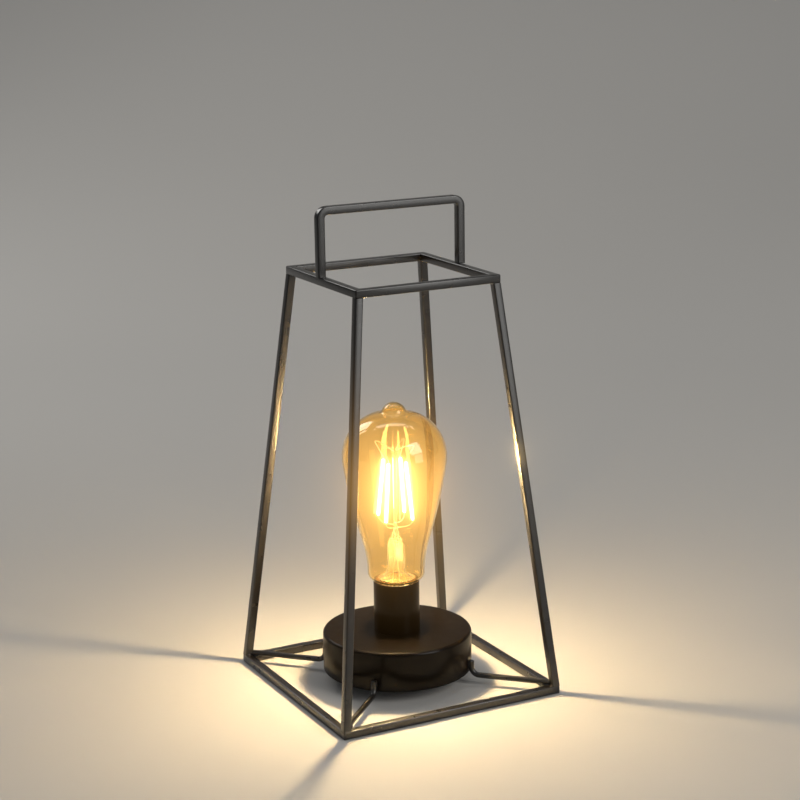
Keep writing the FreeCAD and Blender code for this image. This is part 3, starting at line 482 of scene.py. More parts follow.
def worn_metal(name, dark, light, roughness, stretch=(1.0, 1.0, 12.0)):
    finish = Finish(name, light, roughness, metallic=1.0)
    finish.mottle(finish.noise(4.0), dark, light)
    brushed = finish.noise(1.5, detail=5.0, roughness=0.6, stretch=stretch)
    finish.gloss(brushed, roughness - 0.08, roughness + 0.12)
    finish.bump(finish.noise(0.5, detail=3.0, roughness=0.6, stretch=stretch), depth=0.008)
    return finish.material


def blown_glass(name, tint, clearness):
    """Tinted glass; what clearness lacks to 1 is a faint haze that catches the light inside."""
    finish = Finish(name, tint, 0.0, Transmission_Weight=clearness, IOR=GLASS_IOR)
    finish.mottle(finish.noise(40.0, detail=1.0), [part * 0.985 for part in tint], tint)
    finish.bump(finish.noise(14.0, detail=1.0), depth=0.06)
    return finish.material


def glowing(name, core, edge, strength):
    """A phosphor coat that shines, with a fine grain of two tones."""
    finish = Finish(name, PHOSPHOR, 0.6, Emission_Strength=strength)
    glow = finish.ramp(finish.noise(0.8, detail=2.0), zip(GLOSS_SPAN, (edge, core)))
    finish.link(glow, finish.shader.inputs["Emission Color"])
    finish.bump(finish.noise(0.4), depth=0.05)
    return finish.material


paint = satin_paint("cage_paint", (0.0042, 0.0034, 0.0027), (0.0070, 0.0054, 0.0040),
                    roughness=0.29, specular=0.50, coat=0.42, coat_roughness=0.15)
base_paint = satin_paint("base_paint", (0.0026, 0.0018, 0.0011), (0.0040, 0.0027, 0.0016),
                         roughness=0.34, specular=0.04, coat=0.17, coat_roughness=0.14)
sleeve_paint = satin_paint("sleeve_paint", (0.0030, 0.0018, 0.0010), (0.0046, 0.0028, 0.0015),
                           roughness=0.32, specular=0.08, coat=0.09, coat_roughness=0.12)
black_plastic = moulded_plastic("black_plastic", (0.012, 0.012, 0.012), (0.020, 0.019, 0.018), 0.52)
bright_steel = worn_metal("bright_steel", (0.52, 0.51, 0.49), (0.66, 0.65, 0.62), 0.28)
switch_plastic = moulded_plastic("switch_plastic", (0.030, 0.030, 0.030), (0.045, 0.045, 0.044), 0.42)
cell_sleeve = moulded_plastic("cell_label", (0.045, 0.06, 0.075), (0.06, 0.08, 0.10), 0.30)
cell_band = moulded_plastic("cell_band", (0.30, 0.31, 0.32), (0.38, 0.39, 0.40), 0.32)
board_green = moulded_plastic("circuit_board", (0.015, 0.075, 0.035), (0.02, 0.10, 0.045), 0.38)
chip_black = moulded_plastic("chip_black", (0.012, 0.012, 0.012), (0.020, 0.020, 0.020), 0.45)
lead_sleeve = moulded_plastic("lead_sleeve", (0.30, 0.012, 0.010), (0.36, 0.02, 0.014), 0.40)
brass = worn_metal("brass", (0.78, 0.60, 0.26), (0.88, 0.72, 0.36), 0.22)
solder = worn_metal("solder", (0.50, 0.50, 0.50), (0.62, 0.62, 0.60), 0.34, (1.0, 1.0, 1.0))
amber_glass = blown_glass("amber_glass", (1.0, 0.81, 0.46), 0.996)
clear_glass = blown_glass("clear_glass", (1.0, 0.97, 0.90), 0.965)
bulb_wire = worn_metal("bulb_wire", (0.78, 0.73, 0.64), (0.90, 0.85, 0.76), 0.34)
filament_glow = glowing("filament_glow", (1.0, 0.77, 0.42), (1.0, 0.71, 0.36), 420.0)


# ---------------------------------------------------------------- cage
def ring(name, half, z0, nodes_stood_for):
    """A welded square ring as one skin; its outer corners are ground round."""
    section = bar_section()
    loops = []
    for corner in range(4):
        signs = around(math.sqrt(2), 0, 45.0 + 90.0 * corner)
        for step in range(CORNER_STEPS + 1):
            facing = 90.0 * corner + 90.0 * step / CORNER_STEPS
            loop = []
            for across, up in section:
                depth = BAR / 2 - across
                reach = max(RING_CORNER - depth, 0.0)
                middle = half - depth - reach
                loop.append(signs * middle + around(reach, z0 + BAR / 2 + up, facing))
            loops.append(loop)
    piece(name, loft(loops, closed=True), "lamp", paint, nodes_stood_for)


def leg(corner):
    """A square bar that leans in both ways, flush with both rings."""
    section = bar_section()
    low = FOOT_HALF - BAR / 2
    high = TOP_HALF - BAR / 2
    rise = TOP_RING_Z - 2 * BAR
    loops = []
    for share in LEG_LOOPS:
        reach = low + (high - low) * share
        loops.append([(-reach + x, -reach + y, BAR + rise * share) for x, y in section])
    piece("leg_" + CORNERS[corner] + "_bar", loft(loops), "lamp", paint,
          ["leg_" + CORNERS[corner]], turn=90.0 * corner)


def handle():
    """One square bar bent twice."""
    section = bar_section()
    reach = HANDLE_HALF - BAR / 2
    top = HANDLE_TOP - BAR / 2
    bend = HANDLE_BEND - BAR / 2
    route = [(reach, TOP_RING_Z), (reach, TOP_RING_Z + HANDLE_FOOT)]
    route += arc((reach - bend, top - bend), bend, 0, 90, BEND_STEPS)
    route += [(-x, z) for x, z in reversed(route)]
    loops = []
    for place, (x, z) in enumerate(route):
        before = Vector(route[max(place - 1, 0)])
        after = Vector(route[min(place + 1, len(route) - 1)])
        heading = (after - before).normalized()
        outward = Vector((heading.y, -heading.x))
        loops.append([(x + outward.x * across, up, z + outward.y * across) for across, up in section])
    piece("handle_bar", loft(loops), "lamp", paint, ["handle"])


def spoke(corner):
    """A round rod along the diagonal, turned up against the wall of the base."""
    z = BAR + SPOKE_RADIUS - WELD_SEAT
    upright = BASE_RADIUS + SPOKE_RADIUS - WELD_SEAT
    flat = [(RING_DIAGONAL + SPOKE_REACH, z)]
    flat += arc((upright + SPOKE_BEND, z + SPOKE_BEND), SPOKE_BEND, 270, 180, BEND_STEPS)
    flat.append((upright, SPOKE_TOP - SPOKE_TIP))
    route = [Vector((x, 0, height)) for x, height in flat]
    skin = tube(route, SPOKE_RADIUS, SPOKE_SIDES, rounding=SPOKE_TIP)
    piece("spoke_" + CORNERS[corner] + "_rod", skin, "lamp", paint,
          ["spoke_" + CORNERS[corner]], turn=90.0 * corner - 135.0)


def bead(start, end, radius, luck):
    """A short weld bead: a ridge with small ripples that thins out at both ends."""
    route, radii = [], []
    for step in range(BEAD_STEPS + 1):
        share = step / BEAD_STEPS
        swell = math.sin(math.pi * (BEAD_START + (1 - 2 * BEAD_START) * share)) ** BEAD_FULLNESS
        wave = math.sin(2 * math.pi * (BEAD_RIPPLES * share + luck.random()))
        route.append(start.lerp(end, share))
        radii.append(radius * swell * (1 + BEAD_RIPPLE * wave * luck.random()))
    return tube(route, radii, BEAD_SIDES)


def corner_welds(corner):
    """Beads where a leg meets both rings and where the spoke meets the ring and the base."""
    luck = random.Random(CORNER_SEED + corner)
    beads = []
    for half, level in ((FOOT_HALF, BAR), (TOP_HALF, TOP_RING_Z - BAR)):
        outer = -half + BEAD_INSET
        inner = -half + BAR - BEAD_INSET
        edge = -half + BAR
        beads.append(bead(Vector((edge, outer, level)), Vector((edge, inner, level)), LEG_BEAD, luck))
        beads.append(bead(Vector((outer, edge, level)), Vector((inner, edge, level)), LEG_BEAD, luck))
    diagonal = Vector((-1, -1, 0)).normalized()
    across = Vector((1, -1, 0)).normalized()

    def beside(reach, aside, z):
        return diagonal * reach + across * aside + Vector((0, 0, z))

    for side in (-1, 1):
        near_back, near_aside = RING_BEAD_NEAR
        far_back, far_aside = RING_BEAD_FAR
        near = beside(RING_DIAGONAL - near_back, side * near_aside, BAR)
        far = beside(RING_DIAGONAL - far_back, side * far_aside, BAR)
        beads.append(bead(near, far, RING_BEAD, luck))
        out, aside = WALL_BEAD_PLACE
        low = beside(BASE_RADIUS + out, side * aside, BASE_BOTTOM + WALL_BEAD_LOW)
        high = beside(BASE_RADIUS + out, side * aside, SPOKE_TOP - WALL_BEAD_HIGH)
        beads.append(bead(low, high, WALL_BEAD, luck))
    piece("welds_" + CORNERS[corner], merged(beads), "lamp", paint, turn=90.0 * corner)


def handle_welds():
    luck = random.Random(HANDLE_SEED)
    beads = []
    for side in (-1, 1):
        for face in (-1, 1):
            outer = Vector((side * (TOP_HALF - BEAD_INSET), face * BAR / 2, TOP_RING_Z))
            inner = Vector((side * (HANDLE_HALF - BAR + HANDLE_BEAD_INSET), face * BAR / 2, TOP_RING_Z))
            beads.append(bead(outer, inner, LEG_BEAD, luck))
    piece("welds_handle", merged(beads), "lamp", paint)


def build_cage():
    ring("bottom_ring", FOOT_HALF, 0.0, ["bottom_bar_" + side for side in SIDES])
    ring("top_ring", TOP_HALF, TOP_RING_Z - BAR, ["top_bar_" + side for side in SIDES])
    handle()
    handle_welds()
    for corner in range(4):
        leg(corner)
        spoke(corner)
        corner_welds(corner)


# ---------------------------------------------------------------- base
def base_housing():
    """A drawn steel cup, open below, with a round hole under the sleeve."""
    inner = BASE_RADIUS - BASE_WALL
    ceiling = BASE_TOP - BASE_WALL
    outline = [(NIPPLE_HOLE, ceiling), (NIPPLE_HOLE, BASE_TOP), (SLEEVE_RADIUS - SLEEVE_SEAT, BASE_TOP)]
    outline += arc((BASE_RADIUS - BASE_EDGE, BASE_TOP - BASE_EDGE), BASE_EDGE, 90, 0, BASE_EDGE_STEPS)
    outline += arc((BASE_RADIUS - BASE_RIM, BASE_BOTTOM + BASE_RIM), BASE_RIM, 0, -90, ROUND_STEPS)
    outline += arc((inner + BASE_RIM, BASE_BOTTOM + BASE_RIM), BASE_RIM, -90, -180, ROUND_STEPS)
    outline += arc((inner - CEILING_ROUND, ceiling - CEILING_ROUND), CEILING_ROUND, 0, 90, ROUND_STEPS)
    piece("base_housing_cup", revolve(outline, GLASS_SEGMENTS), "lamp", base_paint,
          ["base_housing"])


def socket_sleeve():
    """A plain drawn cup that stands on the base; its mouth is rolled smooth."""
    inner = SLEEVE_RADIUS - SLEEVE_WALL
    lip = SLEEVE_WALL / 2
    floor = BASE_TOP + SLEEVE_FLOOR
    foot = (SLEEVE_RADIUS - SLEEVE_FOOT_ROUND, BASE_TOP + SLEEVE_FOOT_ROUND)
    corner = (inner - SLEEVE_INNER_ROUND, floor + SLEEVE_INNER_ROUND)
    outline = [(NIPPLE_HOLE, floor), (NIPPLE_HOLE, BASE_TOP)]
    outline += arc(foot, SLEEVE_FOOT_ROUND, -90, 0, ROUND_STEPS)
    outline += arc((SLEEVE_RADIUS - lip, SLEEVE_TOP - lip), lip, 0, 180, LIP_STEPS)
    outline += arc(corner, SLEEVE_INNER_ROUND, 0, -90, SLEEVE_INNER_STEPS)
    piece("socket_sleeve_cup", revolve(outline, ROUND_SEGMENTS), "lamp", sleeve_paint,
          ["socket_sleeve"])


# ---------------------------------------------------------------- bulb
def circles_meet(centre_a, radius_a, centre_b, radius_b):
    """The crossing of two circles that lies further from the axis."""
    gap_x = centre_b[0] - centre_a[0]
    gap_z = centre_b[1] - centre_a[1]
    gap = math.hypot(gap_x, gap_z)
    along = (radius_a ** 2 - radius_b ** 2 + gap ** 2) / (2 * gap)
    aside = math.sqrt(radius_a ** 2 - along ** 2)
    found = []
    for sign in (-1, 1):
        x = centre_a[0] + (along * gap_x + sign * aside * gap_z) / gap
        z = centre_a[1] + (along * gap_z - sign * aside * gap_x) / gap
        found.append((x, z))
    return max(found)


def towards(centre, radius, angle):
    turn = math.radians(angle)
    return (centre[0] + radius * math.cos(turn), centre[1] + radius * math.sin(turn))


def angle_to(centre, point):
    return math.degrees(math.atan2(point[1] - centre[1], point[0] - centre[0]))


def envelope_skin(inset):
    """The envelope's outline from its shelf to its tip, moved in by inset, as (radius, height).

    Neck, blend, flank, shoulder, dome, blend and pip are tangent to each other.
    """
    neck_round = NECK_RADIUS - MOUTH_RADIUS
    round_centre = (MOUTH_RADIUS, CAP_TOP + SHELF_GAP + neck_round)
    shoulder_centre = (BELLY_RADIUS - SHOULDER_RADIUS, BELLY_Z)
    flank_centre = towards(shoulder_centre, SHOULDER_RADIUS - FLANK_RADIUS, -SHOULDER_TURN)
    dome_centre = (BELLY_RADIUS - DOME_RADIUS, BELLY_Z)
    pip_centre = (0.0, PIP_TOP - PIP_RADIUS)
    lean = math.degrees(math.asin((flank_centre[1] - FLANK_BOTTOM) / FLANK_RADIUS))
    flank_foot = towards(flank_centre, FLANK_RADIUS, -lean)
    corner_z = flank_foot[1] - (flank_foot[0] - NECK_RADIUS) / math.tan(math.radians(lean))
    blend_z = corner_z - NECK_BLEND * math.tan(math.radians(lean) / 2)
    pip_blend = circles_meet(dome_centre, DOME_RADIUS + PIP_BLEND, pip_centre, PIP_RADIUS + PIP_BLEND)
    dome_end = angle_to(dome_centre, pip_blend)
    pip_start = angle_to(pip_centre, pip_blend)
    blend_centre = (NECK_RADIUS + NECK_BLEND, blend_z)
    skin = arc(round_centre, neck_round - inset, -90, 0, NECK_ROUND_STEPS)
    skin += arc(blend_centre, NECK_BLEND + inset, 180, 180 - lean, NECK_BLEND_STEPS)
    skin += arc(flank_centre, FLANK_RADIUS - inset, -lean, -SHOULDER_TURN, FLANK_STEPS)[1:]
    skin += arc(shoulder_centre, SHOULDER_RADIUS - inset, -SHOULDER_TURN, 0, SHOULDER_STEPS)[1:]
    skin += arc(dome_centre, DOME_RADIUS - inset, 0, dome_end, DOME_STEPS)[1:]
    skin += arc(pip_blend, PIP_BLEND + inset, 180 + dome_end, 180 + pip_start, PIP_BLEND_STEPS)[1:]
    skin += arc(pip_centre, PIP_RADIUS - inset, pip_start, 90, PIP_STEPS)[1:]
    return skin[:-1] + [(0.0, PIP_TOP - inset)]


def bulb_glass():
    shelf = CAP_TOP + SHELF_GAP
    mouth = [(MOUTH_RADIUS - GLASS, shelf + GLASS), (MOUTH_RADIUS - GLASS, MOUTH_BOTTOM),
             (MOUTH_RADIUS, MOUTH_BOTTOM), (MOUTH_RADIUS, shelf)]
    outline = mouth + envelope_skin(0.0)[1:] + envelope_skin(GLASS)[:0:-1]
    glass = piece("bulb_envelope", revolve(outline, GLASS_SEGMENTS), "bulb", amber_glass,
                  ["bulb_glass"], crease=GLASS_CREASE)
    glass.visible_shadow = False


def bulb_stem():
    """Flare, hollow stem, flattened pinch, glass rod and button."""
    flare_centre = (STEM_RADIUS + FLARE_ROUND, FLARE_BOTTOM + FLARE_ROUND)
    skin = arc(flare_centre, FLARE_ROUND, 270, 180, FLARE_STEPS) + PINCH_OUTLINE
    skin += arc((0.0, ROD_TOP), BUTTON_RADIUS, BUTTON_START, 90, BUTTON_STEPS)[:-1]
    skin += [(0.0, ROD_TOP + BUTTON_RADIUS), (0.0, STEM_TOP)] + BORE_OUTLINE
    skin += arc(flare_centre, FLARE_ROUND + STEM_GLASS, 180, 270, FLARE_STEPS)
    points, faces = revolve(skin, STEM_SEGMENTS)
    for point in points:
        rise = min(max((point.z - SQUEEZE_LOW[0]) / SQUEEZE_LOW[1], 0.0), 1.0)
        fall = min(max((SQUEEZE_HIGH[0] - point.z) / SQUEEZE_HIGH[1], 0.0), 1.0)
        point.x *= 1 + PINCH_WIDER * rise * fall
        point.y *= 1 - PINCH_THINNER * rise * fall
    stem = piece("bulb_stem_glass", (points, faces), "bulb", clear_glass, ["bulb_stem"],
                 crease=GLASS_CREASE, turn=FILAMENT_TURN + 45.0)
    stem.visible_shadow = False


def filament_angles():
    return [FILAMENT_TURN + 360.0 / FILAMENT_COUNT * step for step in range(FILAMENT_COUNT)]


def filaments():
    """Straight phosphor-coated rods, each with a bare metal pin at both ends."""
    for number, angle in enumerate(filament_angles(), 1):
        low = around(*FILAMENT_LOW, angle)
        high = around(*FILAMENT_HIGH, angle)
        along = (high - low).normalized()
        first = low + along * FILAMENT_PIN
        last = high - along * FILAMENT_PIN
        route = [first.lerp(last, step / FILAMENT_STEPS) for step in range(FILAMENT_STEPS + 1)]
        coated = tube(route, FILAMENT_RADIUS, FILAMENT_SIDES, rounding=FILAMENT_ROUND)
        pins = [tube([low, first], SUPPORT_WIRE), tube([last, high], SUPPORT_WIRE)]
        rod = piece("filament_%d" % number, merged([coated] + pins), "bulb", filament_glow,
                    ["led_filament_%d" % number])
        rod.data.materials.append(bulb_wire)
        coated_faces = len(coated[1])
        for face in rod.data.polygons:
            face.material_index = 0 if face.index < coated_faces else 1


def bulb_wires():
    """Two lead-in wires that fork to the lower filament ends, and four upper supports."""
    angles = filament_angles()
    strands = []
    for first, second in ((0, 1), (2, 3)):
        middle = (angles[first] + angles[second]) / 2
        fork = around(*LEAD_FORK, middle)
        trunk = [around(*LEAD_FOOT, middle + LEAD_TWIST)]
        trunk += [around(*place, middle) for place in LEAD_ROUTE] + [fork]
        strands.append(tube(smooth_route(trunk, ROUTE_STEPS), SUPPORT_WIRE))
        for angle in (angles[first], angles[second]):
            branch = [fork, around(*LEAD_BRANCH, angle), around(*FILAMENT_LOW, angle)]
            strands.append(tube(smooth_route(branch, ROUTE_STEPS), SUPPORT_WIRE))
    piece("bulb_lead_in_wires", merged(strands), "bulb", bulb_wire, ["lead_in_wires"])
    hooks = []
    for angle in angles:
        points = [around(*place, angle) for place in SUPPORT_ROUTE]
        hooks.append(tube(smooth_route(points, ROUTE_STEPS), SUPPORT_WIRE))
    piece("bulb_filament_supports", merged(hooks), "bulb", bulb_wire, ["filament_supports"])


def threaded_skin(crest, depth, low, high):
    """The loops of a sheet that is rolled into a screw thread between two heights."""
    loops = []
    for row in range(THREAD_ROWS + 1):
        share = row / THREAD_ROWS
        z = low + (high - low) * share
        fade = min(share / THREAD_FADE, (1 - share) / THREAD_FADE, 1.0)
        loop = []
        for step in range(THREAD_SEGMENTS):
            turns = step / THREAD_SEGMENTS
            wave = 0.5 - 0.5 * math.cos(2 * math.pi * (z / THREAD_PITCH - turns))
            loop.append(around(crest - depth * wave * fade, z, 360.0 * turns))
        loops.append(loop)
    return loops


def circle(radius, z):
    return [around(radius, z, 360.0 * step / THREAD_SEGMENTS) for step in range(THREAD_SEGMENTS)]


def bulb_cap():
    """The screw cap: rolled thread, plain collar above it and a cone below."""
    inner = CAP_RADIUS - CAP_SHEET
    loops = [circle(CAP_CONE_RADIUS - CAP_SHEET, CAP_BOTTOM), circle(CAP_CONE_RADIUS, CAP_BOTTOM)]
    loops += threaded_skin(CAP_RADIUS, THREAD_DEPTH, CAP_SKIRT, CAP_THREAD_TOP)
    loops += [circle(CAP_RADIUS, CAP_COLLAR), circle(CAP_RADIUS, CAP_TOP - CAP_LIP[1])]
    loops += [circle(CAP_RADIUS - CAP_LIP[0], CAP_TOP), circle(inner, CAP_TOP), circle(inner, CAP_COLLAR)]
    loops += list(reversed(threaded_skin(inner, THREAD_DEPTH, CAP_SKIRT, CAP_THREAD_TOP)))
    piece("bulb_screw_cap", loft(loops, closed=True), "bulb", brass, ["bulb_cap"],
          crease=THREAD_CREASE)
    piece("bulb_cap_glass_disc", revolve(CAP_DISC, THREAD_SEGMENTS), "bulb", chip_black,
          ["bulb_cap_insulator"])
    piece("bulb_cap_tip", revolve(CAP_TIP, TIP_SEGMENTS), "bulb", solder, ["bulb_cap_contact"])


# ---------------------------------------------------------------- lampholder and cells
def lampholder_shell():
    """The sheet metal shell, rolled to the bulb's thread, with a lip turned in below."""
    inner = SHELL_RADIUS - SHELL_SHEET
    loops = [circle(SHELL_LIP, SHELL_BOTTOM), circle(SHELL_RADIUS - SHELL_ROUND, SHELL_BOTTOM)]
    loops.append(circle(SHELL_RADIUS, SHELL_BOTTOM + SHELL_ROUND))
    loops += threaded_skin(SHELL_RADIUS, SHELL_THREAD, SHELL_THREAD_LOW, SHELL_THREAD_HIGH)
    loops += [circle(SHELL_RADIUS, SHELL_TOP), circle(inner, SHELL_TOP)]
    loops += list(reversed(threaded_skin(inner, SHELL_THREAD, SHELL_THREAD_LOW, SHELL_THREAD_HIGH)))
    loops.append(circle(inner, SHELL_BOTTOM + SHELL_INNER_FOOT))
    loops.append(circle(SHELL_LIP, SHELL_BOTTOM + SHELL_LIP_TOP))
    piece("lampholder_threaded_shell", loft(loops, closed=True), "lamp", brass,
          ["lampholder_shell"], crease=THREAD_CREASE)


def cell(node):
    """A cell as a sleeved can with a crimped flat end and a button at the other."""
    low, high = low_of(node), high_of(node)
    middle = (low + high) / 2
    heading = 1 if middle.x > 0 else -1
    tail = low.x if heading > 0 else high.x
    radius = (high.z - low.z) / 2
    length = high.x - low.x
    shoulder = length - CELL_BUTTON
    outline = CELL_FLAT_END + arc((radius - CELL_RIM, CELL_RIM), CELL_RIM, -90, 0, CELL_RIM_STEPS)
    outline += [(radius, along) for along in (*CELL_BAND, shoulder - CELL_NECK)]
    outline += arc((radius - CELL_RIM, shoulder - CELL_RIM), CELL_RIM, 0, 90, CELL_RIM_STEPS)
    outline += [(across, shoulder + drop) for across, drop in CELL_GROOVE]
    button = (CELL_BUTTON_RADIUS - CELL_BUTTON_ROUND, length - CELL_BUTTON_ROUND)
    outline += arc(button, CELL_BUTTON_ROUND, 0, 90, CELL_BUTTON_STEPS)
    outline.append((0.0, length))
    points, faces = revolve(outline, CELL_SEGMENTS)
    points = [Vector((tail + heading * point.z, middle.y + point.x, middle.z + point.y)) for point in points]
    can = piece(node + "_can", (points, faces), "lamp", cell_sleeve, [node])
    can.data.materials.append(bright_steel)
    can.data.materials.append(cell_band)
    for face in can.data.polygons:
        along = abs(face.center.x / MM - tail)
        across = Vector((face.center.y / MM - middle.y, face.center.z / MM - middle.z)).length
        if across < radius - CELL_CRIMP:
            face.material_index = 1
        elif CELL_BAND[0] < along < CELL_BAND[1]:
            face.material_index = 2


def build_holder_and_cells():
    lampholder_shell()
    for place in ("front", "middle", "rear"):
        cell("battery_cell_" + place)


def build_bulb():
    bulb_glass()
    bulb_stem()
    filaments()
    bulb_wires()
    bulb_cap()


# ---------------------------------------------------------------- carried-over parts
CAD_FINISHES = {
    "battery_tray": (black_plastic, 0.25), "battery_door": (black_plastic, 0.25),
    "switch_body": (switch_plastic, 0.15), "switch_slider": (switch_plastic, 0.15),
    "circuit_board": (board_green, 0.1),
    "timer_chip": (chip_black, 0.1), "filter_capacitor": (chip_black, 0.2),
    "tray_screws": (bright_steel, 0.12), "small_screws": (bright_steel, 0.1),
    "housing_posts": (bright_steel, 0.1), "nipple_nut": (bright_steel, 0.2),
    "nipple_washer": (bright_steel, 0.1), "threaded_nipple": (bright_steel, 0.1),
    "positive_terminal": (bright_steel, 0.05), "negative_terminal": (bright_steel, 0.05),
    "link_contacts": (bright_steel, 0.05), "contact_springs": (bright_steel, 0.05),
    "lampholder_contact": (bright_steel, 0.05), "lampholder_body": (black_plastic, 0.2),
    "battery_leads": (lead_sleeve, 0.0),
    "lampholder_leads": (lead_sleeve, 0.0),
}


FLAT_WITHIN = 0.5         # degrees between faces that are one flat face
SHARP_FROM = 40.0         # degrees at an edge that gets softened
BEVEL_SEGMENTS = 2


def dress(name, finish, edge):
    """Gives a CAD node its material and softens its edges by edge millimetres."""
    node = nodes[name]
    node.data.materials.clear()
    node.data.materials.append(finish)
    for face in node.data.polygons:
        face.material_index = 0
    weld = node.modifiers.new("weld", "WELD")
    weld.merge_threshold = SAME_PLACE
    flat = node.modifiers.new("flat faces", "DECIMATE")
    flat.decimate_type = "DISSOLVE"
    flat.angle_limit = math.radians(FLAT_WITHIN)
    if edge:
        bevel = node.modifiers.new("softened edges", "BEVEL")
        bevel.width = edge * MM
        bevel.segments = BEVEL_SEGMENTS
        bevel.limit_method = "ANGLE"
        bevel.angle_limit = math.radians(SHARP_FROM)
        bevel.use_clamp_overlap = True


def dress_cad():
    for name, (finish, edge) in CAD_FINISHES.items():
        dress(name, finish, edge)


# ---------------------------------------------------------------- stage, lights and camera
CAMERA_TARGET = Vector((4.451, 0.0, 179.114))
CAMERA_DISTANCE = 1237.6
CAMERA_AZIMUTH = -27.5
CAMERA_ELEVATION = 13.76
CAMERA_ROLL = -0.86
CAMERA_LENS = 91.22
CAMERA_SENSOR = 36.0

STAGE_REACH = 5000.0      # half the floor's width, and its length before the lamp
STAGE_HEIGHT = 4200.0
STAGE_BEND = 2600.0       # radius of the sweep from floor to backdrop
STAGE_BEND_STEPS = 48
STAGE_BEHIND = 900.0      # from the lamp to where the sweep starts
STAGE_DROP = 0.05         # how far below the foot the floor lies
FLOOR_COLOUR = (0.46, 0.45, 0.43)
FLOOR_DARK = (0.45, 0.44, 0.42)
FLOOR_LIGHT = (0.47, 0.46, 0.44)
FLOOR_GRAIN = 900.0
FLOOR_ROUGHNESS = 0.8

LAMP_MIDDLE = (0, 0, 140)
BACKDROP_FOOT = (1110, 2130, 300)
AREA_LIGHTS = (           # name, place, size, watts, colour and what it looks at
    ("key", (700, -1500, 1100), (900, 900), 16.0, (1.0, 0.97, 0.93), LAMP_MIDDLE),
    ("window", (840, -1620, 330), (620, 600), 3.4, (1.0, 0.99, 0.96), LAMP_MIDDLE),
    ("fill", (-1400, -700, 900), (1200, 1200), 1.1, (0.93, 0.96, 1.0), LAMP_MIDDLE),
    ("wash", (320, 620, 2300), (2400, 700), 17.0, (1.0, 0.98, 0.95), BACKDROP_FOOT),
    ("rim", (-500, 1500, 1200), (900, 700), 8.0, (1.0, 0.98, 0.95), LAMP_MIDDLE),
)
GLOW_LIGHTS = (           # name, height, watts and radius
    ("bulb_glow", 122.0, 1.6, 8.0),
    ("neck_glow", 82.0, 0.06, 3.0),
)
GLOW_COLOUR = (1.0, 0.71, 0.37)
WORLD_COLOUR = (0.80, 0.84, 0.90)
WORLD_STRENGTH = 0.16
BLOOM_THRESHOLD = 2.0
BLOOM_STRENGTH = 1.6
BLOOM_SIZE = 0.18
BLOOM_TINT = (1.0, 0.94, 0.80)


def camera_axes(azimuth, elevation, roll):
    """The camera's right, up and back as unit vectors; angles in degrees."""
    turn, rise, lean = (math.radians(angle) for angle in (azimuth, elevation, roll))
    back = Vector((math.sin(turn) * math.cos(rise), -math.cos(turn) * math.cos(rise), math.sin(rise)))
    level = Vector((math.cos(turn), math.sin(turn), 0))
    above = back.cross(level)
    right = level * math.cos(lean) + above * math.sin(lean)
    up = above * math.cos(lean) - level * math.sin(lean)
    return right, up, back


def build_camera():
    right, up, back = camera_axes(CAMERA_AZIMUTH, CAMERA_ELEVATION, CAMERA_ROLL)
    lens = bpy.data.cameras.new("camera")
    lens.lens = CAMERA_LENS
    lens.sensor_width = CAMERA_SENSOR
    camera = bpy.data.objects.new("camera", lens)
    bpy.context.scene.collection.objects.link(camera)
    turn = Matrix((right, up, back)).transposed().to_4x4()
    camera.matrix_world = Matrix.Translation((CAMERA_TARGET + back * CAMERA_DISTANCE) * MM) @ turn
    bpy.context.scene.camera = camera


def build_stage():
    """A pale floor that sweeps up into a backdrop far behind the lamp."""
    right, _, back = camera_axes(CAMERA_AZIMUTH, 0.0, 0.0)
    profile = [(-STAGE_REACH, 0.0)]
    profile += arc((STAGE_BEHIND, STAGE_BEND), STAGE_BEND, -90, 0, STAGE_BEND_STEPS)
    profile.append((STAGE_BEHIND + STAGE_BEND, STAGE_HEIGHT))
    points, faces = [], []
    for far, z in profile:
        for side in (-1, 1):
            height = Vector((0, 0, z - STAGE_DROP))
            points.append(-back * far + right * side * STAGE_REACH + height)
    for row in range(len(profile) - 1):
        faces.append((2 * row, 2 * row + 1, 2 * row + 3, 2 * row + 2))
    mesh = bpy.data.meshes.new("floor")
    mesh.from_pydata([point * MM for point in points], [], faces)
    mesh.shade_smooth()
    floor = bpy.data.objects.new("floor", mesh)
    bpy.context.scene.collection.objects.link(floor)
    finish = Finish("floor", FLOOR_COLOUR, FLOOR_ROUGHNESS)
    finish.mottle(finish.noise(FLOOR_GRAIN, detail=1.0), FLOOR_DARK, FLOOR_LIGHT)
    mesh.materials.append(finish.material)


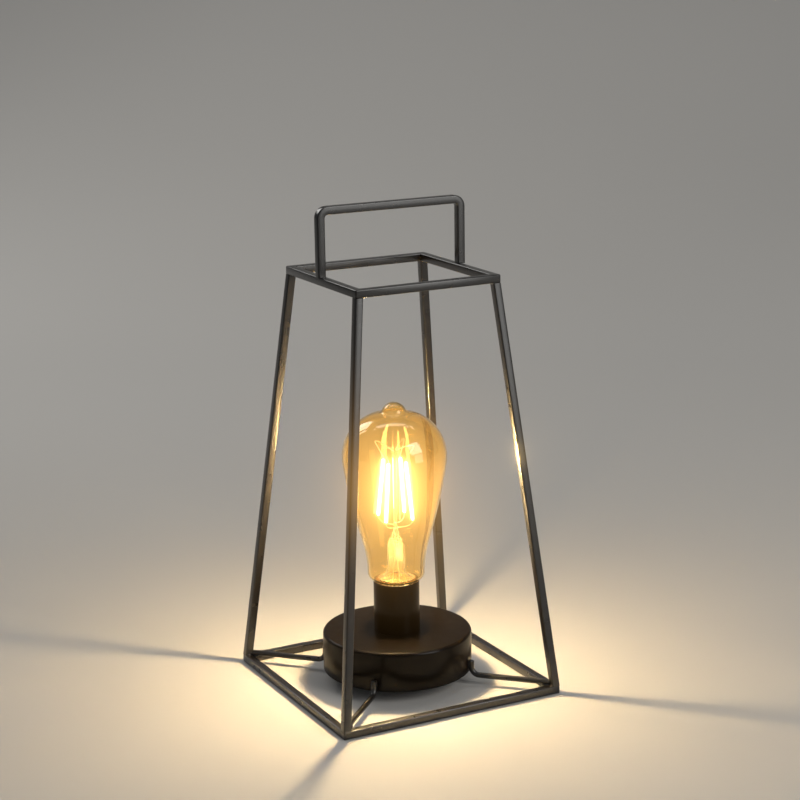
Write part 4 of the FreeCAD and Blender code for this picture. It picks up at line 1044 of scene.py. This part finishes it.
def area_light(name, place, size, power, colour, target):
    """A soft rectangular light at place that looks at target; power is in watts."""
    light = bpy.data.lights.new(name, "AREA")
    light.shape = "RECTANGLE"
    light.size, light.size_y = size[0] * MM, size[1] * MM
    light.energy = power
    light.color = colour
    made = bpy.data.objects.new(name, light)
    bpy.context.scene.collection.objects.link(made)
    place = Vector(place)
    aim = Vector(target) - place
    facing = aim.to_track_quat("-Z", "Y").to_matrix().to_4x4()
    made.matrix_world = Matrix.Translation(place * MM) @ facing
    made.visible_camera = False


def glow_light(name, z, power, radius):
    """A warm point light inside the bulb, which moves with it."""
    light = bpy.data.lights.new(name, "POINT")
    light.energy = power
    light.color = GLOW_COLOUR
    light.shadow_soft_size = radius * MM
    light.cycles.use_multiple_importance_sampling = False
    made = bpy.data.objects.new(name, light)
    bpy.context.scene.collection.objects.link(made)
    made.location = Vector((0, 0, z)) * MM
    made.visible_camera = False
    made.visible_transmission = False
    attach(made, "bulb")


def build_lights():
    for light in AREA_LIGHTS:
        area_light(*light)
    for light in GLOW_LIGHTS:
        glow_light(*light)
    world = bpy.data.worlds.new("studio")
    world.use_nodes = True
    sky = world.node_tree.nodes["Background"]
    sky.inputs["Color"].default_value = (*WORLD_COLOUR, 1)
    sky.inputs["Strength"].default_value = WORLD_STRENGTH
    bpy.context.scene.world = world


def build_bloom():
    """A soft bloom round what is brighter than the picture can hold."""
    scene = bpy.context.scene
    scene.use_nodes = True
    tree = scene.node_tree
    tree.nodes.clear()
    layers = tree.nodes.new("CompositorNodeRLayers")
    glare = tree.nodes.new("CompositorNodeGlare")
    glare.glare_type = "BLOOM"
    glare.inputs["Threshold"].default_value = BLOOM_THRESHOLD
    glare.inputs["Strength"].default_value = BLOOM_STRENGTH
    glare.inputs["Size"].default_value = BLOOM_SIZE
    glare.inputs["Tint"].default_value = (*BLOOM_TINT, 1)
    out = tree.nodes.new("CompositorNodeComposite")
    tree.links.new(layers.outputs["Image"], glare.inputs["Image"])
    tree.links.new(glare.outputs["Image"], out.inputs["Image"])


build_cage()
base_housing()
socket_sleeve()
build_bulb()
build_holder_and_cells()
dress_cad()
build_camera()
build_stage()
build_lights()
build_bloom()
bpy.context.scene.view_settings.view_transform = "Standard"
